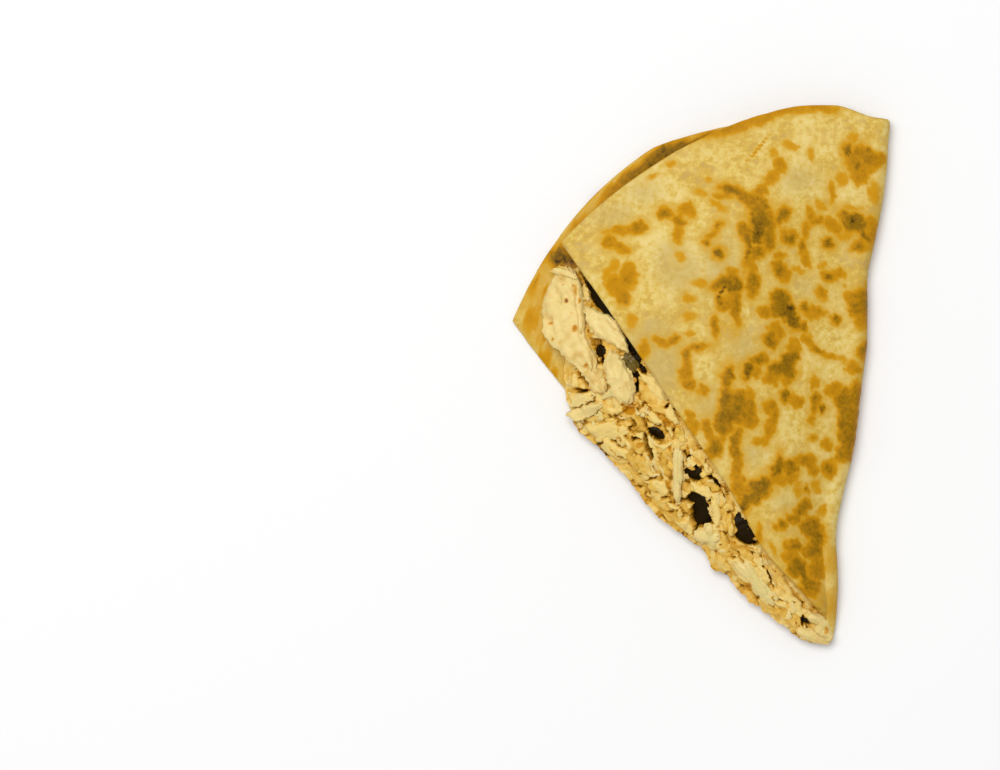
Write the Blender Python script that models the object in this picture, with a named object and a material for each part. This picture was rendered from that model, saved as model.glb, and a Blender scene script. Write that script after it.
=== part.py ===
"""Quesadilla wedge: one flour tortilla folded in half over pulled chicken and beans, then cut.

The wedge is the outer third of the half-moon. Its tip is the middle of the tortilla, its
straight closed side is the fold, its other straight side is the cut, where the filling
slopes out, and its arc is the open rim of the two leaves.

Places on the wedge are polar: a radius from the tip, and an angle out from the fold, which
runs along +Y. The finished wedge stands on z = 0 under the middle of its own box.
"""

import math

import bmesh
import bpy
from mathutils import Matrix, Vector, noise

MM = 0.001

# Driving sizes, in metres and degrees
TORTILLA_RADIUS = 128.0 * MM
SHEET = 2.0 * MM
GAP = 0.3 * MM
LOWER_ANGLE = 50.8
UPPER_ANGLE = 40.3
CREST_HEIGHT = 17.2 * MM
TIP_START = 3.0 * MM
STEEPEST_SINE = 0.95
SHARP_ANGLE = 50.0

# The folded edge: half its height at the tip and along the rest, and its shallow dents
FOLD_HALF_TIP = 2.6 * MM
FOLD_HALF = 3.6 * MM
FOLD_GROWS_OVER = 20.0 * MM
FOLD_DENTS = (
    (-2.4 * MM, 30.0 * MM, 13.0 * MM),
    (-1.5 * MM, 90.0 * MM, 10.0 * MM),
    (0.5 * MM, 112.0 * MM, 8.0 * MM),
)

# The rims: where each arc starts to shorten, how far it does, and how fast
UPPER_RIM = 130.3 * MM
UPPER_RIM_FROM = 9.0
UPPER_RIM_DROP = 12.9 * MM
LOWER_RIM_FROM = 25.0
LOWER_RIM_DROP = 17.5 * MM
RIM_POWER = 1.17
FOLD_RIM_DROP = 2.6 * MM
FOLD_RIM_ANGLE = 5.0

# The lower leaf's cut bows out past its chord, and its lip lifts along part of the arc
CUT_BOW = 3.8 * MM
CUT_BOW_GROWS_OVER = 8.0 * MM
CUT_BOW_POWER = 6
LIP_LIFT = 1.7 * MM
LIP_BAND = 16.0 * MM
LIP_ANGLES = (14.0, 41.0)

# The upper leaf: heights of its middle surface where it meets the filling and the rim
CREST_GROWS_OVER = 34.0 * MM
CREST_FALLS_FROM = 88.0 * MM
CREST_FALLS_TO = 118.0 * MM
RIM_HEIGHT = 4.3 * MM
RIM_MIDDLE_LIFT = 1.9 * MM
CREST_SPAN = 0.8
LEAF_EDGE_GROWS_OVER = 8.5 * MM
LEAF_EDGE_FROM = 2.8 * MM
LEAF_SHORTEST = 0.4 * MM
RISE_POWER = 1.3
RELIEF = 0.6 * MM
RELIEF_SPACING = 24.0 * MM

# The filling: how far it bulges past the cut, where it draws back, and its lumps
FILLING_START = 5.0 * MM
FILLING_RIM_MARGIN = 5.0 * MM
FILLING_BULGE = 6.4 * MM
FILLING_BULGE_GROWS_OVER = 9.0 * MM
FILLING_BACK_FROM = 80.0 * MM
FILLING_BACK_BY = 15.0 * MM
FILLING_END = 113.0 * MM
FILLING_NOSE = 4.4 * MM
FILLING_NARROWEST = 0.5
FILLING_UNDERCUT = 1.2 * MM
FILLING_IN_FOLD = 1.0 * MM
FLOOR_GAP = 1.4 * GAP
FACE_BELLY = 0.16
FILLING_LUMP = 1.1 * MM
FILLING_LUMP_SPACING = 7.0 * MM
UNDER_LEAF = 1.75 * MM
TIP_UNDER_LEAF = 2.2 * MM
TIP_UNDER_OVER = 9.0 * MM

# How finely the leaf, the fold and the filling are divided
ROWS = 27
LOWER_COLUMNS = 13
FOLD_COLUMNS = 8
UPPER_COLUMNS = 20
FILLING_STATIONS = 26
ROOF_STEPS = 9
SLOPE_STEPS = 7
BASE_STEPS = 8

# Pieces seated in the cut face: name, kind, the two ends as (out from the fold, along it),
# width and thickness, all in mm, the part of its thickness that stands proud, mesh fineness
PIECES = (
    ("chicken_strip_large", "chicken", (71.4, 82.0), (66.9, 61.2), 9.4, 7.0, 0.30, 3),
    ("chicken_shard_upper", "chicken", (64.2, 72.2), (56.6, 65.4), 4.2, 3.8, 0.30, 2),
    ("chicken_chunk_middle", "chicken", (59.4, 60.4), (56.2, 51.6), 6.4, 5.0, 0.25, 3),
    ("chicken_chunk_inner", "chicken", (66.6, 58.0), (62.6, 54.6), 4.6, 3.8, 0.20, 2),
    ("chicken_shard_outer", "chicken", (69.4, 50.0), (61.8, 51.4), 3.2, 2.8, 0.30, 2),
    ("chicken_shred_straight", "chicken", (43.4, 43.6), (41.4, 32.0), 2.8, 2.4, 0.40, 2),
    ("chicken_piece_lower", "chicken", (33.6, 25.0), (29.4, 19.6), 4.6, 3.6, 0.30, 2),
    ("chicken_strip_tip", "chicken", (25.0, 18.0), (11.8, 8.4), 5.4, 3.6, 0.30, 3),
    ("bean_upper", "bean", (61.9, 78.6), (59.3, 71.8), 4.8, 4.4, 0.10, 2),
    ("bean_inner", "bean", (63.0, 65.0), (61.0, 61.8), 2.8, 3.0, -0.10, 2),
    ("bean_middle", "bean", (50.6, 47.6), (45.8, 45.0), 4.2, 4.0, 0.05, 2),
    ("bean_small", "bean", (38.9, 38.7), (36.0, 35.4), 4.2, 4.0, 0.05, 2),
    ("bean_front", "bean", (37.4, 32.2), (34.6, 26.6), 5.4, 4.8, 0.10, 2),
    ("bean_lower", "bean", (27.4, 29.6), (23.8, 24.4), 4.8, 4.4, 0.05, 2),
    ("pepper_strip", "pepper", (54.7, 63.4), (51.3, 57.8), 3.4, 2.2, 0.10, 2),
)
PIECE_ROUGHNESS = {"chicken": 0.14, "bean": 0.06, "pepper": 0.10}
PIECE_SQUARENESS = {"chicken": 0.75, "bean": 1.0, "pepper": 0.8}
PIECE_LUMPS = 1.7
PIECE_SUNK = 0.5
SEAT_GAP = 1.3 * GAP
FACE_OUTWARD = (-1.0, -0.55, 1.15)
LEAF_CLEARANCE = 0.62 * SHEET
LEAF_EDGE_SLOPE = 3.0

# Colours as linear values, and roughness
FINISHES = {
    "tortilla": ((0.70, 0.50, 0.20), 0.62),
    "filling": ((0.78, 0.58, 0.27), 0.50),
    "chicken": ((0.84, 0.66, 0.38), 0.45),
    "bean": ((0.030, 0.016, 0.006), 0.25),
    "pepper": ((0.14, 0.10, 0.02), 0.35),
}


def clear_scene():
    """Remove every object that the file opens with."""
    for obj in list(bpy.data.objects):
        bpy.data.objects.remove(obj, do_unlink=True)


def clamp(value, low=0.0, high=1.0):
    """Keep a value between two limits."""
    return max(low, min(high, value))


def smooth_ramp(value, low, high):
    """Go smoothly from 0 at low to 1 at high."""
    part = clamp((value - low) / (high - low))
    return part * part * (3.0 - 2.0 * part)


def mix(first, second, part):
    """Go in a straight line from first to second."""
    return first + (second - first) * part


def hump(value, low, high):
    """Rise from 0 at low to 1 half way and back to 0 at high."""
    if not low < value < high:
        return 0.0
    return math.sin(math.pi * (value - low) / (high - low)) ** 2


# --- the folded sheet ---------------------------------------------------------------------


def turn_for(sideways, radius):
    """Angle, in degrees, that a sideways step makes as seen from the tip."""
    return math.degrees(math.asin(clamp(sideways / radius, -STEEPEST_SINE, STEEPEST_SINE)))


def fold_line(along):
    """Sideways place of the folded edge, which dents in and out along its length."""
    return sum(depth * math.exp(-(((along - at) / width) ** 2)) for depth, at, width in FOLD_DENTS)


def fold_half(radius):
    """Half the height of the folded edge at a radius."""
    return mix(FOLD_HALF_TIP, FOLD_HALF, clamp(radius / FOLD_GROWS_OVER))


def fold_angle(radius):
    """Angle, in degrees, where the round of the fold ends and the flat leaves begin."""
    return turn_for(fold_half(radius) - fold_line(radius), radius)


def lower_rim(angle):
    """Radius of the lower leaf's arc at an angle."""
    part = clamp((angle - LOWER_RIM_FROM) / (LOWER_ANGLE - LOWER_RIM_FROM))
    return TORTILLA_RADIUS - LOWER_RIM_DROP * part**RIM_POWER


def upper_rim(angle):
    """Radius of the upper leaf's arc at an angle."""
    part = clamp((angle - UPPER_RIM_FROM) / (UPPER_ANGLE - UPPER_RIM_FROM))
    near_fold = FOLD_RIM_DROP * (1.0 - smooth_ramp(angle, 0.0, FOLD_RIM_ANGLE))
    return UPPER_RIM - UPPER_RIM_DROP * part**RIM_POWER - near_fold


def lower_cut(radius):
    """Angle, in degrees, of the lower leaf's cut at a radius."""
    chord = lower_rim(LOWER_ANGLE)
    grown = 1.0 - math.exp(-radius / CUT_BOW_GROWS_OVER)
    bow = CUT_BOW * grown * (1.0 - clamp(radius / chord) ** CUT_BOW_POWER)
    return LOWER_ANGLE + turn_for(bow, radius)


def upper_cut(radius):
    """Angle, in degrees, of the upper leaf's cut at a radius."""
    grown = 1.0 - math.exp(-max(0.0, radius - LEAF_EDGE_FROM) / LEAF_EDGE_GROWS_OVER)
    return max(UPPER_ANGLE * grown, fold_angle(radius) + math.degrees(LEAF_SHORTEST / radius))


def lower_height(radius, angle):
    """Height of the lower leaf's middle surface."""
    near_rim = smooth_ramp(radius, lower_rim(angle) - LIP_BAND, lower_rim(angle))
    return SHEET / 2 + LIP_LIFT * near_rim * hump(angle, *LIP_ANGLES)


def upper_height(radius, angle):
    """Height of the upper leaf's middle surface, which domes over the filling."""
    start = fold_angle(radius)
    across = clamp((angle - start) / max(1.0, upper_cut(radius) - start))
    fold_top = 2.0 * fold_half(radius) - SHEET / 2
    even_radius = radius * (UPPER_RIM - UPPER_RIM_DROP) / upper_rim(angle)
    grown = 1.0 - math.exp(-radius / CREST_GROWS_OVER)
    fallen = smooth_ramp(even_radius, CREST_FALLS_FROM, CREST_FALLS_TO)
    crest = RIM_HEIGHT + (CREST_HEIGHT - RIM_HEIGHT) * grown * (1.0 - fallen)
    rise = math.sin(0.5 * math.pi * min(1.0, across / CREST_SPAN)) ** RISE_POWER
    lift = RIM_MIDDLE_LIFT * fallen * math.sin(math.pi * across)
    place = polar(radius, angle, 0.0) / RELIEF_SPACING
    bumps = RELIEF * noise.noise(place) * rise * (1.0 - fallen)
    return mix(fold_top, crest, rise) + lift + bumps


def polar(radius, angle, height):
    """Point at a radius from the tip and an angle, in degrees, out from the fold."""
    turn = math.radians(angle)
    return Vector((-radius * math.sin(turn), radius * math.cos(turn), height))


def sheet_point(row, column):
    """Middle surface of the folded sheet.

    row goes from 0 at the tip to 1 at the rim. column counts from the lower leaf's cut,
    round the fold, to the upper leaf's cut.
    """
    if column < LOWER_COLUMNS:
        across = 1.0 - column / LOWER_COLUMNS
        radius = mix(TIP_START, lower_rim(LOWER_ANGLE * across), row)
        angle = mix(fold_angle(radius), lower_cut(radius), across)
        return polar(radius, angle, lower_height(radius, angle))
    if column > LOWER_COLUMNS + FOLD_COLUMNS:
        across = (column - LOWER_COLUMNS - FOLD_COLUMNS) / UPPER_COLUMNS
        radius = mix(TIP_START, upper_rim(UPPER_ANGLE * across), row)
        angle = mix(fold_angle(radius), upper_cut(radius), across)
        return polar(radius, angle, upper_height(radius, angle))
    radius = mix(TIP_START, upper_rim(0.0), row)
    turn = math.pi * (column - LOWER_COLUMNS) / FOLD_COLUMNS
    bend = fold_half(radius) - SHEET / 2
    start = polar(radius, fold_angle(radius), fold_half(radius))
    return start + Vector((bend * math.sin(turn), 0.0, -bend * math.cos(turn)))


def make_tortilla():
    """The folded sheet: a flat grid carried round the fold, then given its thickness."""
    columns = LOWER_COLUMNS + FOLD_COLUMNS + UPPER_COLUMNS
    bm = bmesh.new()
    bmesh.ops.create_grid(bm, x_segments=columns, y_segments=ROWS, size=1.0)
    for vert in bm.verts:
        column = round((vert.co.x + 1.0) / 2.0 * columns)
        row = (vert.co.y + 1.0) / 2.0
        vert.co = sheet_point(row, column)
    bmesh.ops.reverse_faces(bm, faces=bm.faces)
    tortilla = finish_object("tortilla", bm, "tortilla")
    wall = tortilla.modifiers.new("thickness", "SOLIDIFY")
    wall.thickness = SHEET
    wall.offset = 0.0
    return tortilla


# --- the filling --------------------------------------------------------------------------


def filling_rim(angle):
    """Radius where the filling ends, short of the rim."""
    return min(FILLING_END, upper_rim(angle) - FILLING_RIM_MARGIN)


def filling_edge(radius):
    """Angle, in degrees, of the filling's outer edge, which bulges past the cut."""
    bulge = FILLING_BULGE * (1.0 - math.exp(-radius / FILLING_BULGE_GROWS_OVER))
    back = smooth_ramp(radius, FILLING_BACK_FROM, FILLING_END)
    bulge -= (FILLING_BULGE + FILLING_BACK_BY) * back
    return LOWER_ANGLE + turn_for(bulge, radius)


def filling_start(radius):
    """Angle, in degrees, where the filling begins inside the fold."""
    return fold_angle(radius) + math.degrees(FILLING_IN_FOLD / radius)


def floor_height(radius, angle):
    """Lowest place for the filling on the lower leaf."""
    return lower_height(radius, angle) + SHEET / 2 + FLOOR_GAP


def roof_height(radius, angle):
    """Highest place for the filling under the upper leaf, which is steep near the tip."""
    under = UNDER_LEAF + TIP_UNDER_LEAF * math.exp(-radius / TIP_UNDER_OVER)
    return max(upper_height(radius, angle) - under, floor_height(radius, angle) + GAP)


def nose_height(radius):
    """Height of the filling's outer edge."""
    back = smooth_ramp(radius, FILLING_BACK_FROM, FILLING_END)
    return mix(FILLING_NOSE, floor_height(radius, filling_edge(radius)) + GAP, back)


def face_edges(radius):
    """Angles, in degrees, where the cut face leaves the upper leaf and where it ends."""
    inner = max(upper_cut(radius), filling_start(radius) + FILLING_NARROWEST)
    return inner, max(filling_edge(radius), inner + FILLING_NARROWEST)


def slope_height(radius, angle):
    """Height of the filling's cut face between the upper leaf and its own outer edge."""
    inner, outer = face_edges(radius)
    down = clamp((angle - inner) / (outer - inner))
    top = roof_height(radius, inner)
    return mix(top, nose_height(radius), down) + FACE_BELLY * top * math.sin(math.pi * down)


def filling_point(station, step):
    """Point on the filling's skin, going over its roof, down its cut face and back below."""
    slope_from = ROOF_STEPS
    base_from = ROOF_STEPS + SLOPE_STEPS
    if step <= slope_from:
        across = step / ROOF_STEPS
        radius = mix(FILLING_START, filling_rim(UPPER_ANGLE * across), station)
        angle = mix(filling_start(radius), face_edges(radius)[0], across)
        return polar(radius, angle, roof_height(radius, angle))
    if step <= base_from:
        radius = mix(FILLING_START, FILLING_END, station)
        down = (step - slope_from) / SLOPE_STEPS
        angle = mix(*face_edges(radius), down)
        place = polar(radius, angle, slope_height(radius, angle))
        lump = noise.noise_vector(place / FILLING_LUMP_SPACING) * FILLING_LUMP
        lump *= smooth_ramp(down, 0.0, 0.3) * smooth_ramp(station, 0.0, 0.1)
        lump *= 1.0 - smooth_ramp(station, 0.8, 1.0)
        place += lump
        place.z = max(place.z, floor_height(radius, angle) + GAP)
        return place
    across = 1.0 - (step - base_from) / BASE_STEPS
    radius = mix(FILLING_START, filling_rim(UPPER_ANGLE * across), station)
    inner, outer = face_edges(radius)
    outer = max(outer - math.degrees(FILLING_UNDERCUT / radius), inner)
    angle = mix(filling_start(radius), outer, across)
    return polar(radius, angle, floor_height(radius, angle))


def make_filling():
    """The filling: one ring drawn out from the tip to the rim, station by station."""
    count = ROOF_STEPS + SLOPE_STEPS + BASE_STEPS
    bm = bmesh.new()
    bmesh.ops.create_circle(bm, segments=count, radius=1.0)
    ring = sorted(bm.verts, key=lambda vert: math.atan2(vert.co.y, vert.co.x))
    for step, vert in enumerate(ring):
        vert.co = filling_point(0.0, step)
    edges = list(bm.edges)
    caps = [bmesh.ops.contextual_create(bm, geom=edges)["faces"]]
    for station in range(1, FILLING_STATIONS + 1):
        made = bmesh.ops.extrude_edge_only(bm, edges=edges)["geom"]
        fresh = [item for item in made if isinstance(item, bmesh.types.BMVert)]
        by_old = {vert.co.copy().freeze(): vert for vert in fresh}
        ring = [by_old[vert.co.copy().freeze()] for vert in ring]
        for step, vert in enumerate(ring):
            vert.co = filling_point(station / FILLING_STATIONS, step)
        edges = [item for item in made if isinstance(item, bmesh.types.BMEdge)]
        edges = [edge for edge in edges if edge.verts[0] in ring and edge.verts[1] in ring]
    caps.append(bmesh.ops.contextual_create(bm, geom=edges)["faces"])
    bmesh.ops.triangulate(bm, faces=[face for cap in caps for face in cap])
    bmesh.ops.recalc_face_normals(bm, faces=bm.faces)
    return finish_object("filling", bm, "filling")


# --- pieces seated in the cut face --------------------------------------------------------


def plan_polar(place):
    """Radius and angle of a place given as metres out from the fold and along it."""
    out, along = place
    return math.hypot(out, along), math.degrees(math.atan2(out, along))


def face_place(place):
    """Point on the filling's cut face at a place in mm out from the fold and along it."""
    out, along = (part * MM for part in place)
    return Vector((-out, along, slope_height(*plan_polar((out, along)))))


def keep_clear(point, margin):
    """Press a point down off the upper leaf and up off the lower one.

    The ceiling rises steeply past the upper leaf's edge, so that a lump may bulge there.
    """
    radius, angle = plan_polar((-point.x, point.y))
    cut = upper_cut(radius)
    beyond = max(0.0, math.radians(angle - cut) * radius)
    ceiling = upper_height(radius, min(angle, cut)) - LEAF_CLEARANCE - margin
    point.z = min(point.z, ceiling + LEAF_EDGE_SLOPE * beyond)
    point.z = max(point.z, SHEET + margin)


def piece_mesh(spec, grow):
    """One rounded, slightly squared and uneven lump lying along the cut face.

    grow is added all round, so that the same lump also cuts its own seat.
    """
    name, kind, first, second, width, thick, proud, fineness = spec
    start = face_place(first)
    end = face_place(second)
    axis = (end - start).normalized()
    outward = Vector(FACE_OUTWARD)
    normal = (outward - outward.dot(axis) * axis).normalized()
    side = normal.cross(axis)
    half = Vector(((end - start).length / 2, width * MM / 2, thick * MM / 2))
    middle = (start + end) / 2 + normal * half.z * (2.0 * proud - PIECE_SUNK)
    seed = Vector((len(name), half.x / MM, 0.0))
    bm = bmesh.new()
    bmesh.ops.create_icosphere(bm, subdivisions=fineness, radius=1.0)
    for vert in bm.verts:
        ball = vert.co.copy()
        squared = [math.copysign(abs(part) ** PIECE_SQUARENESS[kind], part) for part in ball]
        rough = 1.0 + PIECE_ROUGHNESS[kind] * noise.noise(ball * PIECE_LUMPS + seed)
        local = [part * (size * rough + grow) for part, size in zip(squared, half)]
        vert.co = middle + axis * local[0] + side * local[1] + normal * local[2]
        keep_clear(vert.co, SEAT_GAP + GAP - grow)
    return bm


def make_piece(spec, filling):
    """A seated piece, and the cutter that opens its seat in the filling."""
    name, kind = spec[0], spec[1]
    piece = finish_object(name, piece_mesh(spec, 0.0), kind)
    cutter = finish_object("seat_" + name, piece_mesh(spec, SEAT_GAP), kind)
    cutter.hide_render = True
    cutter.display_type = "WIRE"
    cut = filling.modifiers.new("seat_" + name, "BOOLEAN")
    cut.operation = "DIFFERENCE"
    cut.object = cutter
    return piece, cutter


# --- finish and place ---------------------------------------------------------------------


def finish_material(slot):
    """One material for each slot."""
    material = bpy.data.materials.get(slot)
    if material:
        return material
    colour, roughness = FINISHES[slot]
    material = bpy.data.materials.new(slot)
    material.use_nodes = True
    shader = material.node_tree.nodes["Principled BSDF"]
    shader.inputs["Base Color"].default_value = (*colour, 1.0)
    shader.inputs["Roughness"].default_value = roughness
    shader.inputs["Metallic"].default_value = 0.0
    return material


def finish_object(name, bm, slot):
    """Turn a bmesh into a named object with its material."""
    mesh = bpy.data.meshes.new(name)
    bm.to_mesh(mesh)
    bm.free()
    mesh.shade_smooth()
    mesh.set_sharp_from_angle(angle=math.radians(SHARP_ANGLE))
    mesh.materials.append(finish_material(slot))
    obj = bpy.data.objects.new(name, mesh)
    bpy.context.collection.objects.link(obj)
    return obj


def centre_on_floor(objects, measured):
    """Move every mesh so that the measured ones stand on z = 0 under their box's middle."""
    bpy.context.view_layer.update()
    graph = bpy.context.evaluated_depsgraph_get()
    points = []
    for obj in measured:
        points += [vert.co.copy() for vert in obj.evaluated_get(graph).data.vertices]
    low = [min(point[i] for point in points) for i in range(3)]
    high = [max(point[i] for point in points) for i in range(3)]
    shift = Vector((-(low[0] + high[0]) / 2, -(low[1] + high[1]) / 2, -low[2]))
    for obj in objects:
        obj.data.transform(Matrix.Translation(shift))


def main():
    """Build the wedge."""
    clear_scene()
    tortilla = make_tortilla()
    filling = make_filling()
    pieces = []
    cutters = []
    for spec in PIECES:
        piece, cutter = make_piece(spec, filling)
        pieces.append(piece)
        cutters.append(cutter)
    solids = [tortilla, filling, *pieces]
    centre_on_floor([*solids, *cutters], solids)


main()
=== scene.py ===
"""Looks of the quesadilla wedge: a griddled flour tortilla folded over pulled chicken, then cut.

Places on the wedge are measured as a cook would lay a ruler on it: out from the folded edge,
and along it from the tip. The folded edge runs along +Y and the wedge lies to its -X side.
"""

import logging
import math
import random
from collections.abc import Iterable, Sequence
from dataclasses import dataclass, field
from enum import Enum

import bmesh
import bpy
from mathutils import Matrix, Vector, kdtree, noise


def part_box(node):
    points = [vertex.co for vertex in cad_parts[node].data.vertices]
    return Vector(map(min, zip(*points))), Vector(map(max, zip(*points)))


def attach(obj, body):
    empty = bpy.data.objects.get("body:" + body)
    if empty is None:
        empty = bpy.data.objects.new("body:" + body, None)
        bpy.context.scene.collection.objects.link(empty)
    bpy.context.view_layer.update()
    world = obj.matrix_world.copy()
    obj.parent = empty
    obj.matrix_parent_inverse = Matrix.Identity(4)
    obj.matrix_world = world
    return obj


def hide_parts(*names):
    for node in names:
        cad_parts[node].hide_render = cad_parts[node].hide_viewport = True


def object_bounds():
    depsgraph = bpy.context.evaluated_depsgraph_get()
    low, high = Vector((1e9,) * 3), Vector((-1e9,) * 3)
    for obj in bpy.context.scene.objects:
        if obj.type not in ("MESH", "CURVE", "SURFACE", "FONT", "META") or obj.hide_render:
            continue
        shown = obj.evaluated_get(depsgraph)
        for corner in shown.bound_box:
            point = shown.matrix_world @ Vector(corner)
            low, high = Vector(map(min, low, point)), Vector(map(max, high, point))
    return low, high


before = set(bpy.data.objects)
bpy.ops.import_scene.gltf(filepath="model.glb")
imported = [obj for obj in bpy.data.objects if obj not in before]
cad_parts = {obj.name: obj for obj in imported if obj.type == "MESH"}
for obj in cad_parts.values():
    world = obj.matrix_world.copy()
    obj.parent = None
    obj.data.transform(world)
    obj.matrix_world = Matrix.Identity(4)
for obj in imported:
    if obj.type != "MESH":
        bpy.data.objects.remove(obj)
CAD_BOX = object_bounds()

log = logging.getLogger("quesadilla")

MM = 0.001

Place = tuple[float, float]
Colour = tuple[float, float, float, float]


class Slot(Enum):
    """The record's material slots."""

    TORTILLA = "tortilla"
    FILLING = "filling"
    CHICKEN = "chicken"
    BEAN = "bean"
    PEPPER = "pepper"


class Toast(float, Enum):
    """How far the griddle has browned a spot, from raw dough at 0 to charred at 1."""

    GOLD = 0.40
    AMBER = 0.58
    BROWN = 0.80
    DARK = 1.0


# --- small helpers ------------------------------------------------------------------------


def clamp(value: float, low: float = 0.0, high: float = 1.0) -> float:
    """Keep a value between two limits."""
    return max(low, min(high, value))


def smooth_ramp(value: float, low: float, high: float) -> float:
    """Go smoothly from 0 at low to 1 at high."""
    part = clamp((value - low) / (high - low))
    return part * part * (3.0 - 2.0 * part)


def mix(first: float, second: float, part: float) -> float:
    """Go in a straight line from first to second."""
    return first + (second - first) * part


def hump(value: float, low: float, high: float) -> float:
    """Rise from 0 at low to 1 half way and back to 0 at high."""
    if not low < value < high:
        return 0.0
    return math.sin(math.pi * (value - low) / (high - low)) ** 2


def signed_power(value: float, power: float) -> float:
    """Raise a value's size to a power and keep its sign."""
    return math.copysign(abs(value) ** power, value)


def linear(code: str) -> Colour:
    """Turn an sRGB hex code, such as "ddc673", into linear red, green, blue and alpha."""
    parts = [int(code[at : at + 2], 16) / 255.0 for at in (0, 2, 4)]
    red, green, blue = (
        part / 12.92 if part <= 0.04045 else ((part + 0.055) / 1.055) ** 2.4 for part in parts
    )
    return red, green, blue, 1.0


def add_node(
    tree: bpy.types.NodeTree,
    kind: str,
    settings: dict[str, object] | None = None,
    inputs: dict[str | int, object] | None = None,
    stops: Sequence[tuple[float, Colour]] = (),
) -> bpy.types.Node:
    """Add one node to a material.

    Args:
        tree: The material's node tree.
        kind: The node's type name.
        settings: The node's own settings by name.
        inputs: A value, or another node's output, for each named input.
        stops: Places and colours for a colour ramp.

    Returns:
        The new node.
    """
    node = tree.nodes.new(kind)
    for name, value in (settings or {}).items():
        setattr(node, name, value)
    for key, value in (inputs or {}).items():
        if isinstance(value, bpy.types.NodeSocket):
            tree.links.new(value, node.inputs[key])
        else:
            node.inputs[key].default_value = value
    for number, (place, colour) in enumerate(stops):
        ramp = node.color_ramp
        stop = ramp.elements[number] if number < 2 else ramp.elements.new(place)
        stop.position = place
        stop.color = colour
    return node


def make_piece(
    name: str,
    bm: bmesh.types.BMesh,
    material: bpy.types.Material,
    nodes: Iterable[str] = (),
    sharp: float = 60.0,
) -> bpy.types.Object:
    """Turn a bmesh into a named piece that rides on the wedge.

    Args:
        name: The piece's name.
        bm: The finished shape, which is freed.
        material: What the piece is made of.
        nodes: CAD nodes that the piece stands for.
        sharp: The angle, in degrees, past which an edge is shaded sharp.

    Returns:
        The new object.
    """
    low, high = CAD_BOX
    for vert in bm.verts:
        vert.co.x = clamp(vert.co.x, low[0], high[0])
        vert.co.y = clamp(vert.co.y, low[1], high[1])
    mesh = bpy.data.meshes.new(name)
    bm.to_mesh(mesh)
    bm.free()
    mesh.shade_smooth()
    mesh.set_sharp_from_angle(angle=math.radians(sharp))
    mesh.materials.append(material)
    piece = bpy.data.objects.new(name, mesh)
    bpy.context.scene.collection.objects.link(piece)
    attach(piece, "root")
    if nodes:
        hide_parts(*nodes)
    log.info("%s: %d faces", name, len(mesh.polygons))
    return piece


# --- the wedge's own geometry ---------------------------------------------------------------


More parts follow.
